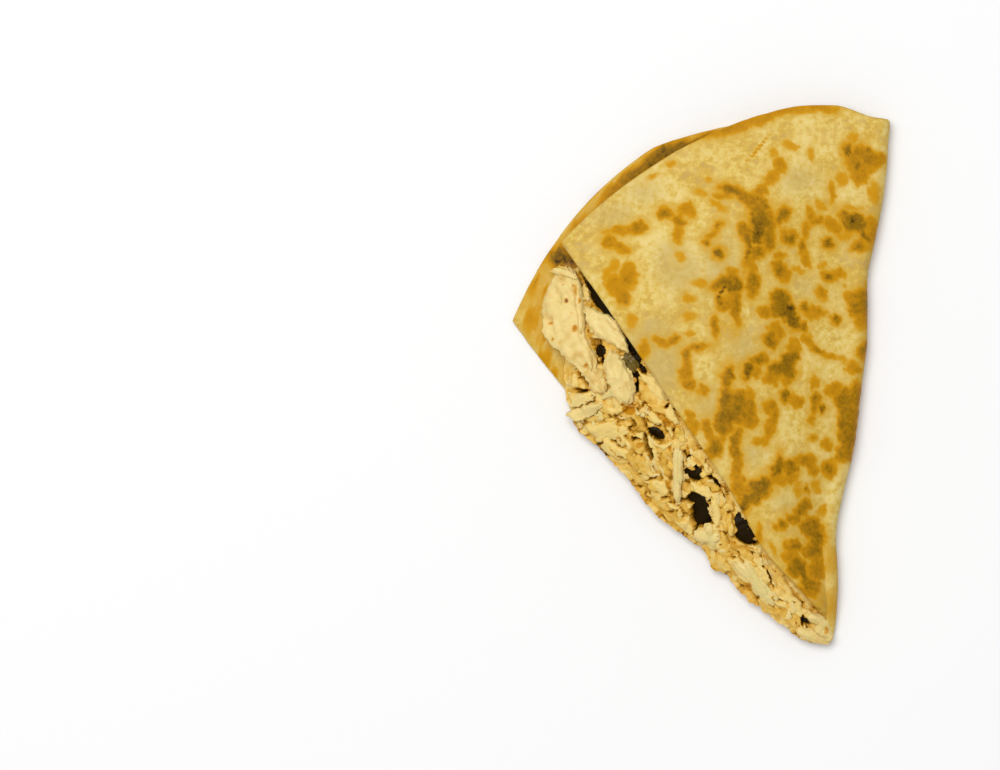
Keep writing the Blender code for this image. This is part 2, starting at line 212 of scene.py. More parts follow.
@dataclass(frozen=True)
class FoldShape:
    """The folded sheet and the filling's outline, with the same sizes as the CAD solids.

    Lengths are in metres and angles in degrees. Radius is measured from the tip, and angle
    outwards from the folded edge.
    """

    tip: Vector
    tortilla_radius: float = 128.0 * MM
    sheet: float = 2.0 * MM
    gap: float = 0.3 * MM
    lower_angle: float = 50.8
    upper_angle: float = 40.3
    crest_height: float = 17.2 * MM
    tip_start: float = 3.0 * MM
    steepest_sine: float = 0.95
    fold_half_tip: float = 2.6 * MM
    fold_half_rest: float = 3.6 * MM
    fold_grows_over: float = 20.0 * MM
    fold_dents: tuple[tuple[float, float, float], ...] = (
        (-2.4 * MM, 30.0 * MM, 13.0 * MM),
        (-1.5 * MM, 90.0 * MM, 10.0 * MM),
        (0.5 * MM, 112.0 * MM, 8.0 * MM),
    )
    upper_rim_size: float = 130.3 * MM
    upper_rim_from: float = 9.0
    upper_rim_drop: float = 12.9 * MM
    lower_rim_from: float = 25.0
    lower_rim_drop: float = 17.5 * MM
    rim_power: float = 1.17
    fold_rim_drop: float = 2.6 * MM
    fold_rim_angle: float = 5.0
    cut_bow: float = 3.8 * MM
    cut_bow_grows_over: float = 8.0 * MM
    cut_bow_power: float = 6.0
    lip_lift: float = 1.7 * MM
    lip_band: float = 16.0 * MM
    lip_angles: Place = (14.0, 41.0)
    crest_grows_over: float = 34.0 * MM
    crest_falls_from: float = 88.0 * MM
    crest_falls_to: float = 118.0 * MM
    rim_height: float = 4.3 * MM
    rim_middle_lift: float = 1.9 * MM
    crest_span: float = 0.8
    leaf_edge_grows_over: float = 4.8 * MM
    leaf_swell: float = 3.0
    leaf_swell_at: Place = (28.0 * MM, 10.0 * MM)
    leaf_edge_from: float = 2.8 * MM
    leaf_shortest: float = 0.4 * MM
    rise_power: float = 1.3
    relief: float = 0.6 * MM
    relief_spacing: float = 24.0 * MM
    filling_start_radius: float = 5.0 * MM
    filling_rim_margin: float = 5.0 * MM
    filling_bulge: float = 6.4 * MM
    filling_bulge_grows_over: float = 9.0 * MM
    filling_back_from: float = 80.0 * MM
    filling_back_by: float = 15.0 * MM
    filling_end: float = 113.0 * MM
    filling_nose: float = 4.4 * MM
    filling_narrowest: float = 0.5
    filling_in_fold: float = 1.0 * MM
    face_belly: float = 0.16
    under_leaf: float = 1.75 * MM
    tip_under_leaf: float = 2.2 * MM
    tip_under_over: float = 9.0 * MM

    def turn_for(self, sideways: float, radius: float) -> float:
        """Angle that a sideways step makes as seen from the tip."""
        sine = clamp(sideways / radius, -self.steepest_sine, self.steepest_sine)
        return math.degrees(math.asin(sine))

    def fold_line(self, along: float) -> float:
        """Sideways place of the folded edge, which dents in and out along its length."""
        dents = self.fold_dents
        return sum(deep * math.exp(-(((along - at) / wide) ** 2)) for deep, at, wide in dents)

    def fold_half(self, radius: float) -> float:
        """Half the height of the folded edge at a radius."""
        grown = clamp(radius / self.fold_grows_over)
        return mix(self.fold_half_tip, self.fold_half_rest, grown)

    def fold_angle(self, radius: float) -> float:
        """Angle where the round of the fold ends and the flat leaves begin."""
        return self.turn_for(self.fold_half(radius) - self.fold_line(radius), radius)

    def lower_rim(self, angle: float) -> float:
        """Radius of the lower leaf's arc at an angle."""
        part = clamp((angle - self.lower_rim_from) / (self.lower_angle - self.lower_rim_from))
        return self.tortilla_radius - self.lower_rim_drop * part**self.rim_power

    def upper_rim(self, angle: float) -> float:
        """Radius of the upper leaf's arc at an angle."""
        part = clamp((angle - self.upper_rim_from) / (self.upper_angle - self.upper_rim_from))
        near_fold = self.fold_rim_drop * (1.0 - smooth_ramp(angle, 0.0, self.fold_rim_angle))
        return self.upper_rim_size - self.upper_rim_drop * part**self.rim_power - near_fold

    def lower_cut(self, radius: float) -> float:
        """Angle of the lower leaf's cut at a radius."""
        chord = self.lower_rim(self.lower_angle)
        grown = 1.0 - math.exp(-radius / self.cut_bow_grows_over)
        bow = self.cut_bow * grown * (1.0 - clamp(radius / chord) ** self.cut_bow_power)
        return self.lower_angle + self.turn_for(bow, radius)

    def upper_cut(self, radius: float) -> float:
        """Angle of the upper leaf's cut at a radius."""
        grown = 1.0 - math.exp(
            -max(0.0, radius - self.leaf_edge_from) / self.leaf_edge_grows_over
        )
        shortest = self.fold_angle(radius) + math.degrees(self.leaf_shortest / radius)
        middle, width = self.leaf_swell_at
        swell = self.leaf_swell * math.exp(-(((radius - middle) / width) ** 2))
        return max(self.upper_angle * grown + swell, shortest)

    def lower_height(self, radius: float, angle: float) -> float:
        """Height of the lower leaf's middle surface."""
        rim = self.lower_rim(angle)
        near_rim = smooth_ramp(radius, rim - self.lip_band, rim)
        return self.sheet / 2 + self.lip_lift * near_rim * hump(angle, *self.lip_angles)

    def upper_height(self, radius: float, angle: float) -> float:
        """Height of the upper leaf's middle surface, which domes over the filling."""
        start = self.fold_angle(radius)
        across = clamp((angle - start) / max(1.0, self.upper_cut(radius) - start))
        fold_top = 2.0 * self.fold_half(radius) - self.sheet / 2
        least_rim = self.upper_rim_size - self.upper_rim_drop
        even_radius = radius * least_rim / self.upper_rim(angle)
        grown = 1.0 - math.exp(-radius / self.crest_grows_over)
        fallen = smooth_ramp(even_radius, self.crest_falls_from, self.crest_falls_to)
        domed = (self.crest_height - self.rim_height) * grown * (1.0 - fallen)
        crest = self.rim_height + domed
        rise = math.sin(0.5 * math.pi * min(1.0, across / self.crest_span)) ** self.rise_power
        lift = self.rim_middle_lift * fallen * math.sin(math.pi * across)
        place = self.polar(radius, angle, 0.0) / self.relief_spacing
        bumps = self.relief * noise.noise(place) * rise * (1.0 - fallen)
        return mix(fold_top, crest, rise) + lift + bumps

    def polar(self, radius: float, angle: float, height: float) -> Vector:
        """Point at a radius and an angle, measured from the tip."""
        turn = math.radians(angle)
        return Vector((-radius * math.sin(turn), radius * math.cos(turn), height))

    def radius_angle(self, point: Vector) -> Place:
        """Radius and angle of a point measured from the tip."""
        return math.hypot(point.x, point.y), math.degrees(math.atan2(-point.x, point.y))

    def filling_rim(self, angle: float) -> float:
        """Radius where the filling ends, short of the rim."""
        return min(self.filling_end, self.upper_rim(angle) - self.filling_rim_margin)

    def filling_edge(self, radius: float) -> float:
        """Angle of the filling's outer edge, which bulges past the cut."""
        grown = 1.0 - math.exp(-radius / self.filling_bulge_grows_over)
        back = smooth_ramp(radius, self.filling_back_from, self.filling_end)
        bulge = self.filling_bulge * grown - (self.filling_bulge + self.filling_back_by) * back
        return self.lower_angle + self.turn_for(bulge, radius)

    def filling_start(self, radius: float) -> float:
        """Angle where the filling begins inside the fold."""
        return self.fold_angle(radius) + math.degrees(self.filling_in_fold / radius)

    def floor_height(self, radius: float, angle: float) -> float:
        """Lowest place for the filling on the lower leaf."""
        return self.lower_height(radius, angle) + self.sheet / 2 + self.gap

    def roof_height(self, radius: float, angle: float) -> float:
        """Highest place for the filling under the upper leaf, which is steep near the tip."""
        steep = self.tip_under_leaf * math.exp(-radius / self.tip_under_over)
        roof = self.upper_height(radius, angle) - self.under_leaf - steep
        return max(roof, self.floor_height(radius, angle) + self.gap)

    def nose_height(self, radius: float) -> float:
        """Height of the filling's outer edge."""
        back = smooth_ramp(radius, self.filling_back_from, self.filling_end)
        low = self.floor_height(radius, self.filling_edge(radius)) + self.gap
        return mix(self.filling_nose, low, back)

    def face_edges(self, radius: float) -> Place:
        """Angles where the cut face leaves the upper leaf and where it ends."""
        inner = self.filling_start(radius) + self.filling_narrowest
        inner = max(self.upper_cut(radius), inner)
        return inner, max(self.filling_edge(radius), inner + self.filling_narrowest)

    def slope_height(self, radius: float, angle: float) -> float:
        """Height of the cut face between the upper leaf and the filling's outer edge."""
        inner, outer = self.face_edges(radius)
        down = clamp((angle - inner) / (outer - inner))
        top = self.roof_height(radius, inner)
        belly = self.face_belly * top * math.sin(math.pi * down)
        return mix(top, self.nose_height(radius), down) + belly

    def face_place(self, place: Place) -> Vector:
        """Point on the cut face, from the tip, at a place in mm out and along."""
        point = Vector((-place[0] * MM, place[1] * MM, 0.0))
        point.z = self.slope_height(*self.radius_angle(point))
        return point

    def face_normal(self, place: Place, step: float = 1.5) -> Vector:
        """Direction that the cut face points in at a place in mm out and along."""
        out, along = place
        rise_out = self.face_place((out + step, along)).z - self.face_place((out - step, along)).z
        rise_on = self.face_place((out, along + step)).z - self.face_place((out, along - step)).z
        run = 2.0 * step * MM
        return Vector((rise_out / run, -rise_on / run, 1.0)).normalized()

    def keep_clear(self, point: Vector, margin: float) -> None:
        """Press a point down off the upper leaf and up off the lower one.

        Args:
            point: A point from the tip, which is changed.
            margin: How far off the leaves it stays.
        """
        radius, angle = self.radius_angle(point)
        radius = max(radius, self.tip_start)
        cut = self.upper_cut(radius)
        beyond = max(0.0, math.radians(angle - cut) * radius)
        ceiling = self.upper_height(radius, min(angle, cut)) - self.sheet / 2 - margin
        point.z = min(point.z, ceiling + 3.0 * beyond)
        point.z = max(point.z, self.sheet + margin)


# --- browning -------------------------------------------------------------------------------


@dataclass(frozen=True)
class Scorch:
    """One browned spot: its middle, its size across and along the fold, and its turn.

    Lengths are in mm. The turn is in degrees, anticlockwise as seen from above.
    """

    out: float
    along: float
    wide: float
    long: float
    turn: float
    toast: float

    def gap(self, out: float, along: float) -> float:
        """Distance in mm of a place from the spot's edge, which is negative inside it."""
        turn = math.radians(self.turn)
        right = self.out - out
        ahead = along - self.along
        across = right * math.cos(turn) + ahead * math.sin(turn)
        lengthwise = ahead * math.cos(turn) - right * math.sin(turn)
        reach = math.hypot(across / (self.wide / 2), lengthwise / (self.long / 2))
        return (reach - 1.0) * min(self.wide, self.long) / 2


GOLD = Toast.GOLD.value
AMBER = Toast.AMBER.value
BROWN = Toast.BROWN.value
DARK = Toast.DARK.value

# The griddle's marks on the upper leaf: out, along, across, lengthwise, turn, toast
UPPER_SCORCHES = (
    # the rim, whose amber band is browning with painted shade along its edge, and the corner by
    # the fold
    (38.0, 120.8, 11.0, 2.8, 26.0, AMBER),
    (31.0, 124.2, 9.0, 2.6, 20.0, AMBER),
    (25.0, 126.6, 9.0, 2.4, 14.0, AMBER),
    (17.5, 128.0, 9.0, 2.0, 6.0, AMBER),
    (23.7, 118.4, 3.5, 2.0, 0.0, GOLD),
    (27.2, 115.7, 2.5, 3.0, 20.0, GOLD),
    (18.5, 116.1, 1.6, 3.2, 0.0, GOLD),
    (25.5, 112.8, 2.6, 3.6, -20.0, AMBER),
    (27.6, 109.4, 2.2, 4.4, -32.0, AMBER),
    (29.2, 106.3, 3.0, 3.0, 0.0, AMBER),
    (6.0, 116.2, 8.5, 7.5, 0.0, AMBER),
    (4.6, 117.6, 4.2, 3.6, 0.0, 0.66),
    (10.0, 119.3, 1.4, 1.9, 20.0, DARK),
    (8.1, 118.4, 1.1, 3.4, -35.0, BROWN),
    (5.0, 119.2, 1.0, 1.0, 0.0, DARK),
    (7.2, 115.0, 1.6, 1.6, 0.0, BROWN),
    (6.2, 112.4, 5.0, 3.4, 0.0, AMBER),
    (9.0, 121.7, 2.2, 2.6, 0.0, GOLD),
    (2.9, 117.2, 2.4, 4.0, 0.0, AMBER),
    (10.4, 111.5, 2.6, 3.4, 0.0, GOLD),
    (2.6, 109.2, 2.4, 5.0, 0.0, GOLD),
    (12.9, 107.8, 1.5, 4.4, 0.0, AMBER),
    (7.2, 105.2, 4.6, 1.8, 0.0, GOLD),
    # the dark patch by the fold
    (6.3, 101.2, 5.2, 4.6, 0.0, BROWN),
    (8.0, 102.6, 4.2, 2.2, -30.0, BROWN),
    (6.9, 101.2, 2.0, 2.4, 0.0, 0.92),
    (4.1, 98.4, 1.3, 2.6, 40.0, DARK),
    (2.6, 100.4, 3.0, 5.4, 10.0, AMBER),
    (5.2, 96.0, 3.0, 3.0, 0.0, 0.68),
    (8.6, 98.6, 4.6, 2.4, 0.0, GOLD),
    (15.9, 100.8, 3.0, 2.2, 0.0, 0.68),
    (11.8, 100.5, 5.0, 3.0, 0.0, AMBER),
    (17.6, 102.4, 2.4, 2.6, 0.0, AMBER),
    (15.0, 104.4, 2.2, 2.8, 40.0, GOLD),
    (18.0, 98.2, 1.8, 4.4, 0.0, AMBER),
    (24.1, 101.5, 2.8, 4.6, -18.0, 0.72),
    (22.2, 96.6, 4.2, 4.0, 0.0, AMBER),
    (22.0, 95.8, 1.9, 1.9, 0.0, BROWN),
    (18.7, 94.4, 2.0, 3.2, 0.0, 0.74),
    (12.3, 95.5, 2.6, 2.4, 0.0, 0.86),
    # the long streak down the middle
    (32.6, 104.4, 8.6, 2.6, -10.0, 0.70),
    (36.6, 105.9, 4.6, 2.6, -18.0, 0.78),
    (38.3, 104.2, 3.4, 1.6, 0.0, AMBER),
    (29.6, 102.6, 4.4, 3.8, 0.0, 0.70),
    (29.4, 99.2, 3.4, 6.0, 0.0, 0.84),
    (29.3, 95.9, 2.8, 3.4, 0.0, 0.94),
    (26.7, 95.0, 3.0, 4.4, 0.0, 0.74),
    (27.2, 99.0, 3.4, 4.6, 0.0, 0.70),
    (33.2, 97.2, 2.6, 3.4, 20.0, 0.72),
    (31.5, 93.0, 1.5, 9.0, 0.0, 0.88),
    (28.9, 91.9, 3.4, 3.4, 0.0, 0.72),
    (30.0, 88.6, 2.2, 5.0, 0.0, AMBER),
    (29.6, 84.2, 3.0, 5.4, 0.0, 0.72),
    (38.9, 96.9, 1.6, 2.2, -20.0, 0.80),
    (40.1, 94.6, 1.1, 2.2, -35.0, 0.66),
    (41.2, 92.4, 1.5, 1.9, 0.0, 0.76),
    (38.0, 90.6, 2.0, 2.3, 0.0, 0.92),
    (42.0, 108.0, 2.2, 1.8, 0.0, GOLD),
    (43.4, 104.3, 3.4, 2.0, 0.0, GOLD),
    (39.0, 101.6, 4.0, 2.0, -25.0, GOLD),
    # the left end of the leaf
    (57.4, 94.7, 3.8, 2.6, 0.0, 0.70),
    (61.0, 93.5, 6.0, 1.9, 14.0, AMBER),
    (64.4, 92.6, 3.0, 1.4, 0.0, GOLD),
    (63.7, 90.2, 2.8, 2.6, 0.0, 0.62),
    (60.6, 89.3, 3.6, 2.2, 0.0, AMBER),
    (62.3, 85.0, 3.0, 3.4, 0.0, GOLD),
    (50.9, 98.9, 4.2, 2.6, 10.0, 0.70),
    (46.5, 99.9, 2.8, 3.2, 0.0, AMBER),
    (48.0, 96.8, 2.6, 3.0, 0.0, 0.70),
    (48.0, 93.8, 2.4, 3.6, 0.0, AMBER),
    (47.1, 88.6, 2.8, 3.4, 0.0, GOLD),
    (51.4, 110.7, 2.2, 1.6, 0.0, GOLD),
    (55.0, 107.1, 3.0, 1.2, 25.0, GOLD),
    (58.4, 83.4, 3.4, 5.0, 0.0, AMBER),
    (60.8, 80.6, 5.6, 5.4, 0.0, 0.52),
    (58.9, 77.6, 2.6, 3.4, 0.0, 0.68),
    (58.6, 76.6, 1.1, 1.3, 0.0, BROWN),
    (63.6, 83.0, 2.6, 3.6, 0.0, GOLD),
    (56.6, 72.0, 2.4, 3.2, 0.0, GOLD),
    (53.4, 66.1, 2.6, 3.8, 10.0, AMBER),
    (46.4, 69.6, 2.8, 2.2, 0.0, 0.68),
    (49.4, 68.6, 4.0, 1.8, 0.0, AMBER),
    (43.1, 71.1, 1.8, 1.5, 0.0, GOLD),
    (44.2, 79.2, 2.8, 2.2, 0.0, GOLD),
    (43.4, 74.7, 3.2, 1.7, 0.0, GOLD),
    (41.9, 82.9, 3.4, 1.8, 0.0, GOLD),
    # between the streak and the fold
    (23.4, 88.3, 3.6, 3.2, 0.0, 0.72),
    (23.5, 91.7, 2.2, 2.6, 0.0, AMBER),
    (22.0, 86.9, 3.4, 2.4, 0.0, AMBER),
    (19.1, 88.3, 2.8, 1.8, 0.0, GOLD),
    (17.2, 91.6, 2.4, 4.6, 30.0, AMBER),
    (13.2, 91.0, 2.2, 2.2, 0.0, GOLD),
    (11.3, 88.2, 3.4, 2.8, 0.0, AMBER),
    (11.4, 88.3, 1.7, 1.6, 0.0, 0.90),
    (8.7, 89.2, 2.6, 1.6, 0.0, AMBER),
    (7.0, 86.7, 1.0, 1.0, 0.0, AMBER),
    (2.2, 86.9, 1.7, 2.2, 0.0, GOLD),
    (12.7, 83.8, 2.6, 3.0, 20.0, AMBER),
    (3.4, 82.3, 5.0, 7.0, 0.0, 0.66),
    (5.8, 83.6, 3.4, 3.0, 0.0, AMBER),
    (1.8, 84.0, 2.2, 4.6, 0.0, 0.74),
    (2.2, 78.6, 2.2, 4.4, 0.0, AMBER),
    (1.3, 71.7, 1.8, 4.6, 0.0, 0.74),
    # the darkest patch
    (22.6, 81.6, 4.4, 4.0, 0.0, 0.74),
    (25.6, 78.4, 3.6, 3.4, 0.0, AMBER),
    (21.6, 79.2, 6.0, 5.6, 0.0, 0.72),
    (20.4, 79.0, 2.8, 4.4, 35.0, 0.92),
    (18.9, 76.6, 2.4, 4.4, 35.0, 0.90),
    (16.6, 75.5, 2.2, 2.4, 50.0, 0.76),
    (14.2, 79.2, 6.4, 3.6, 0.0, AMBER),
    (12.6, 79.5, 1.7, 1.9, 0.0, 0.76),
    (16.6, 80.2, 2.0, 2.0, 0.0, 0.76),
    (8.7, 77.9, 2.3, 2.2, 0.0, 0.82),
    (22.9, 73.9, 4.6, 2.8, 0.0, AMBER),
    (23.9, 71.2, 4.0, 4.0, 0.0, 0.72),
    (24.0, 71.0, 1.9, 2.0, 0.0, 0.82),
    (18.4, 70.6, 3.0, 4.2, 0.0, AMBER),
    (18.6, 67.6, 3.8, 4.4, 0.0, 0.80),
    (19.3, 65.2, 5.2, 4.4, 0.0, 0.78),
    (22.0, 64.6, 3.6, 4.2, 0.0, 0.74),
    (22.8, 61.9, 3.2, 2.8, 0.0, AMBER),
    (19.6, 62.6, 3.2, 3.2, 0.0, AMBER),
    (15.0, 72.6, 3.4, 2.4, -20.0, AMBER),
    (12.6, 70.2, 4.0, 2.0, -30.0, 0.70),
    (9.2, 69.3, 4.2, 1.5, 0.0, AMBER),
    (5.8, 68.9, 3.0, 1.6, 0.0, GOLD),
    (3.6, 66.9, 3.2, 3.4, 0.0, AMBER),
    (28.8, 63.7, 2.2, 3.6, 0.0, 0.90),
    (26.4, 66.3, 4.8, 2.5, 15.0, 0.70),
    (26.4, 63.4, 3.2, 2.4, 0.0, AMBER),
    # the middle by the fold
    (18.9, 58.6, 2.8, 3.4, 0.0, 0.78),
    (16.0, 57.8, 3.2, 2.8, 0.0, AMBER),
    (12.4, 62.6, 1.4, 3.2, 0.0, AMBER),
    (11.0, 58.6, 3.0, 2.4, 0.0, 0.72),
    (9.7, 56.6, 1.8, 2.0, 0.0, 0.92),
    (11.8, 56.4, 1.8, 3.0, 0.0, 0.72),
    (7.7, 61.7, 4.2, 3.2, 0.0, AMBER),
    (4.4, 59.4, 5.2, 5.0, 0.0, 0.72),
    (1.9, 61.2, 1.6, 4.8, 0.0, 0.74),
    (3.0, 56.6, 5.0, 3.8, 0.0, 0.70),
    (3.4, 53.4, 4.6, 5.6, 0.0, 0.74),
    (2.6, 50.0, 4.6, 5.0, 0.0, 0.72),
    (3.6, 46.8, 4.4, 4.8, 0.0, 0.66),
    (22.4, 56.0, 2.8, 2.8, 0.0, AMBER),
    (27.8, 57.4, 2.6, 4.4, 0.0, AMBER),
    (57.9, 81.5, 3.4, 4.0, 0.0, AMBER),
    # the hook and the blister left of the streak
    (40.8, 67.5, 4.6, 1.9, 15.0, 0.66),
    (43.0, 65.4, 2.2, 3.4, 0.0, 0.70),
    (42.9, 62.6, 2.3, 4.6, 0.0, 0.64),
    (42.0, 59.2, 2.2, 2.4, 0.0, 0.68),
    (38.7, 57.8, 2.2, 2.6, 0.0, 0.62),
    (37.1, 73.2, 1.9, 4.8, 0.0, 0.68),
    (36.2, 83.8, 6.0, 2.8, 30.0, 0.76),
    (33.8, 83.2, 3.4, 3.2, 0.0, 0.84),
    (36.8, 79.6, 1.8, 2.6, 0.0, 0.78),
    (35.4, 79.0, 3.4, 3.4, 0.0, 0.60),
    (33.2, 78.4, 2.2, 8.0, 6.0, 0.72),
    (34.9, 86.6, 2.4, 1.8, 0.0, AMBER),
    # the column
    (32.9, 61.2, 2.5, 5.4, 0.0, 0.80),
    (32.8, 56.4, 2.8, 6.0, 0.0, 0.78),
    (30.2, 56.0, 3.6, 5.4, 0.0, 0.72),
    (32.6, 52.6, 4.8, 4.6, 0.0, 0.76),
    (30.2, 53.6, 5.0, 5.0, 0.0, 0.70),
    (27.3, 54.6, 4.4, 4.0, 0.0, 0.66),
    (27.0, 51.8, 4.6, 3.6, 0.0, 0.66),
    (32.4, 50.0, 3.8, 3.4, 0.0, 0.70),
    (40.8, 51.0, 2.4, 3.8, 0.0, AMBER),
    (39.2, 49.0, 2.4, 2.4, 0.0, AMBER),
    (36.2, 48.2, 2.4, 5.4, 14.0, 0.66),
    (34.4, 44.8, 2.8, 4.4, 0.0, 0.74),
    (33.0, 47.5, 1.8, 3.6, 0.0, AMBER),
    (29.3, 47.8, 2.8, 4.6, 0.0, 0.72),
    (29.2, 44.6, 2.4, 3.8, 0.0, 0.72),
    (28.3, 40.8, 2.3, 6.4, 0.0, 0.64),
    (27.6, 36.6, 2.4, 4.4, 0.0, 0.64),
    (22.2, 55.6, 2.4, 3.4, 0.0, AMBER),
    (21.4, 52.8, 2.2, 5.4, 0.0, 0.66),
    (22.0, 49.6, 2.4, 3.6, 0.0, 0.62),
    (23.4, 47.4, 3.4, 1.9, 0.0, AMBER),
    # the block and the patches towards the tip
    (22.8, 36.2, 6.4, 4.2, 0.0, 0.74),
    (23.6, 33.6, 3.2, 3.0, 0.0, 0.80),
    (25.6, 32.0, 1.8, 4.8, -5.0, 0.92),
    (21.4, 37.9, 3.4, 3.6, 0.0, 0.74),
    (26.6, 34.4, 2.2, 4.0, 0.0, AMBER),
    (19.1, 41.8, 1.9, 4.8, -12.0, 0.90),
    (16.2, 42.2, 3.8, 3.6, 0.0, 0.72),
    (18.4, 39.0, 4.2, 2.6, 0.0, AMBER),
    (12.8, 43.6, 5.0, 2.7, 0.0, 0.66),
    (15.4, 39.8, 3.0, 2.4, 0.0, AMBER),
    (10.4, 41.8, 3.4, 3.0, 0.0, AMBER),
    (7.6, 48.7, 2.8, 2.3, 0.0, AMBER),
    (11.5, 49.4, 1.8, 2.0, 0.0, AMBER),
    (11.9, 53.7, 2.0, 1.3, 0.0, AMBER),
    (6.2, 43.0, 4.4, 4.0, 0.0, AMBER),
    (6.0, 43.0, 2.2, 1.9, 0.0, 0.80),
    (9.1, 38.2, 2.8, 2.6, 0.0, GOLD),
    (11.7, 37.0, 1.1, 1.1, 0.0, BROWN),
    (13.6, 37.0, 2.3, 3.2, 0.0, GOLD),
    (12.1, 32.7, 3.6, 5.2, -20.0, 0.68),
    (13.8, 30.0, 4.2, 2.7, 0.0, 0.66),
    (6.7, 32.5, 3.2, 3.2, 0.0, GOLD),
    (16.8, 27.9, 2.5, 2.7, 0.0, 0.68),
    (9.2, 28.0, 5.6, 5.4, 0.0, 0.70),
    (7.6, 25.2, 4.4, 4.4, 0.0, 0.74),
    (8.6, 22.6, 4.8, 4.4, 0.0, 0.74),
    (13.0, 23.6, 4.0, 3.4, 0.0, 0.68),
    (13.4, 20.8, 3.4, 3.4, 0.0, AMBER),
    (21.4, 26.0, 1.4, 4.0, 10.0, AMBER),
    (17.7, 22.0, 1.6, 4.4, 35.0, GOLD),
    (11.7, 18.4, 4.2, 4.0, 0.0, 0.70),
    (10.4, 17.8, 1.8, 4.4, 38.0, 0.90),
    (8.6, 15.4, 1.8, 4.4, 38.0, 0.86),
    (7.0, 18.4, 4.2, 5.4, 0.0, 0.64),
    (7.4, 13.6, 3.4, 4.0, 0.0, 0.68),
    (9.8, 13.2, 2.6, 3.0, 0.0, AMBER),
)

# Browning inside the lower leaf where it shows past the filling and the upper rim
FOLD_SCORCHES = (
    (2.2, 10.0, 3.6, 9.0, 0.0, 0.26),
    (1.0, 15.0, 3.0, 8.0, 0.0, 0.24),
    (3.4, 21.0, 4.2, 7.0, 10.0, 0.26),
    (5.4, 12.0, 3.4, 6.0, 10.0, 0.26),
    (0.4, 24.0, 2.4, 8.0, 0.0, 0.20),
    (0.0, 8.0, 2.6, 7.0, 0.0, 0.22),
    (0.2, 34.0, 2.2, 9.0, 0.0, 0.20),
)

# Cracks and creases in the upper leaf, drawn as dark lines: painted shade down in each one. Out,
# along, across, lengthwise, turn, toast
CRACKS = (
    (36.6, 81.9, 0.6, 4.4, -26.0, DARK),
    (31.2, 116.5, 0.5, 7.3, -35.0, 0.5),
)

# Inside the lower leaf at its lip and beside the filling: browning, with painted shade in the gap
# under the upper rim. Out, along, across, lengthwise, turn, toast
LIP_SCORCHES_AND_SHADE = (
    (44.5, 117.6, 5.0, 3.0, 25.0, BROWN),
    (48.5, 115.6, 6.0, 3.6, 28.0, 0.86),
    (52.5, 113.4, 6.0, 4.0, 32.0, 0.86),
    (56.5, 110.6, 6.0, 4.0, 36.0, 0.82),
    (60.4, 107.2, 6.0, 3.4, 42.0, BROWN),
    (64.0, 103.4, 6.0, 2.6, 48.0, 0.66),
    (67.6, 99.2, 6.0, 2.4, 52.0, AMBER),
    (71.2, 94.4, 6.0, 2.2, 55.0, AMBER),
    (79.6, 80.6, 1.2, 1.4, 0.0, BROWN),
    (78.9, 76.2, 0.8, 1.6, 0.0, BROWN),
    (81.2, 77.6, 0.7, 1.2, 0.0, AMBER),
    (80.4, 71.0, 3.0, 6.0, 0.0, 0.45),
    (76.6, 61.4, 2.6, 4.0, 0.0, 0.50),
    (74.2, 57.8, 2.0, 3.0, 0.0, AMBER),
    (77.4, 66.0, 2.0, 3.0, 0.0, 0.45),
    (70.5, 88.5, 5.0, 3.4, 0.0, BROWN),
    (75.0, 86.0, 6.0, 4.0, 0.0, DARK),
    (72.0, 85.0, 5.0, 3.6, 0.0, DARK),
)

# Greyish, see-through areas where steam has soaked the dough: out, along, across, lengthwise
DAMP_AREAS = (
    (50.0, 64.0, 16.0, 20.0),
    (37.0, 54.0, 8.0, 12.0),
    (30.0, 67.5, 9.0, 8.0),
    (63.0, 97.5, 12.0, 7.0),
    (37.5, 88.0, 11.0, 18.0),
    (48.0, 86.0, 12.0, 14.0),
    (25.0, 45.0, 7.0, 8.0),
    (14.0, 33.0, 9.0, 5.0),
    (57.0, 104.0, 10.0, 6.0),
    (20.0, 110.0, 10.0, 8.0),
    (17.0, 85.0, 10.0, 5.0),
)


@dataclass
class ToastField:
    """Browned spots on one face of the sheet, with wandering edges.

    Places are in mm out from the folded edge and along it.
    """

    scorches: Sequence[Scorch]
    seed: float = 0.0
    cell: float = 6.0
    coarse: Place = (4.0, 1.10)
    fine: Place = (1.2, 0.70)
    edge: Place = (-0.35, 0.80)
    heart: Place = (0.1, 1.5)
    rim: float = 0.84
    halo: float = 0.33
    halo_width: float = 3.0
    join: float = 9.0
    cells: dict[tuple[int, int], list[Scorch]] = field(default_factory=dict)

    def __post_init__(self) -> None:
        """Sort the spots into square cells, so that each place tests only its own."""
        for scorch in self.scorches:
            half = max(scorch.wide, scorch.long) / 2
            half *= 1.0 + 2.0 * self.halo_width / min(scorch.wide, scorch.long)
            low_out, high_out = (self.cell_of(scorch.out + step) for step in (-half, half))
            low_on, high_on = (self.cell_of(scorch.along + step) for step in (-half, half))
            for column in range(low_out, high_out + 1):
                for row in range(low_on, high_on + 1):
                    self.cells.setdefault((column, row), []).append(scorch)

    def cell_of(self, value: float) -> int:
        """Number of the cell that a length falls in."""
        return math.floor(value / self.cell)

    def at(self, out: float, along: float) -> float:
        """Toast at a place, from 0 to 1."""
        place = Vector((out, along, self.seed))
        wander = noise.noise_vector(place / self.coarse[0]) * self.coarse[1]
        wander += noise.noise_vector(place / self.fine[0]) * self.fine[1]
        out += wander.x
        along += wander.y
        total = 0.0
        for scorch in self.cells.get((self.cell_of(out), self.cell_of(along)), ()):
            gap = scorch.gap(out, along)
            fallen = mix(self.rim, 1.0, smooth_ramp(-gap, *self.heart))
            fallen *= 1.0 - smooth_ramp(gap, *self.edge)
            glow = self.halo * (1.0 - smooth_ramp(gap, 0.0, self.halo_width))
            total += (scorch.toast * max(fallen, glow)) ** self.join
        return min(1.0, total ** (1.0 / self.join))


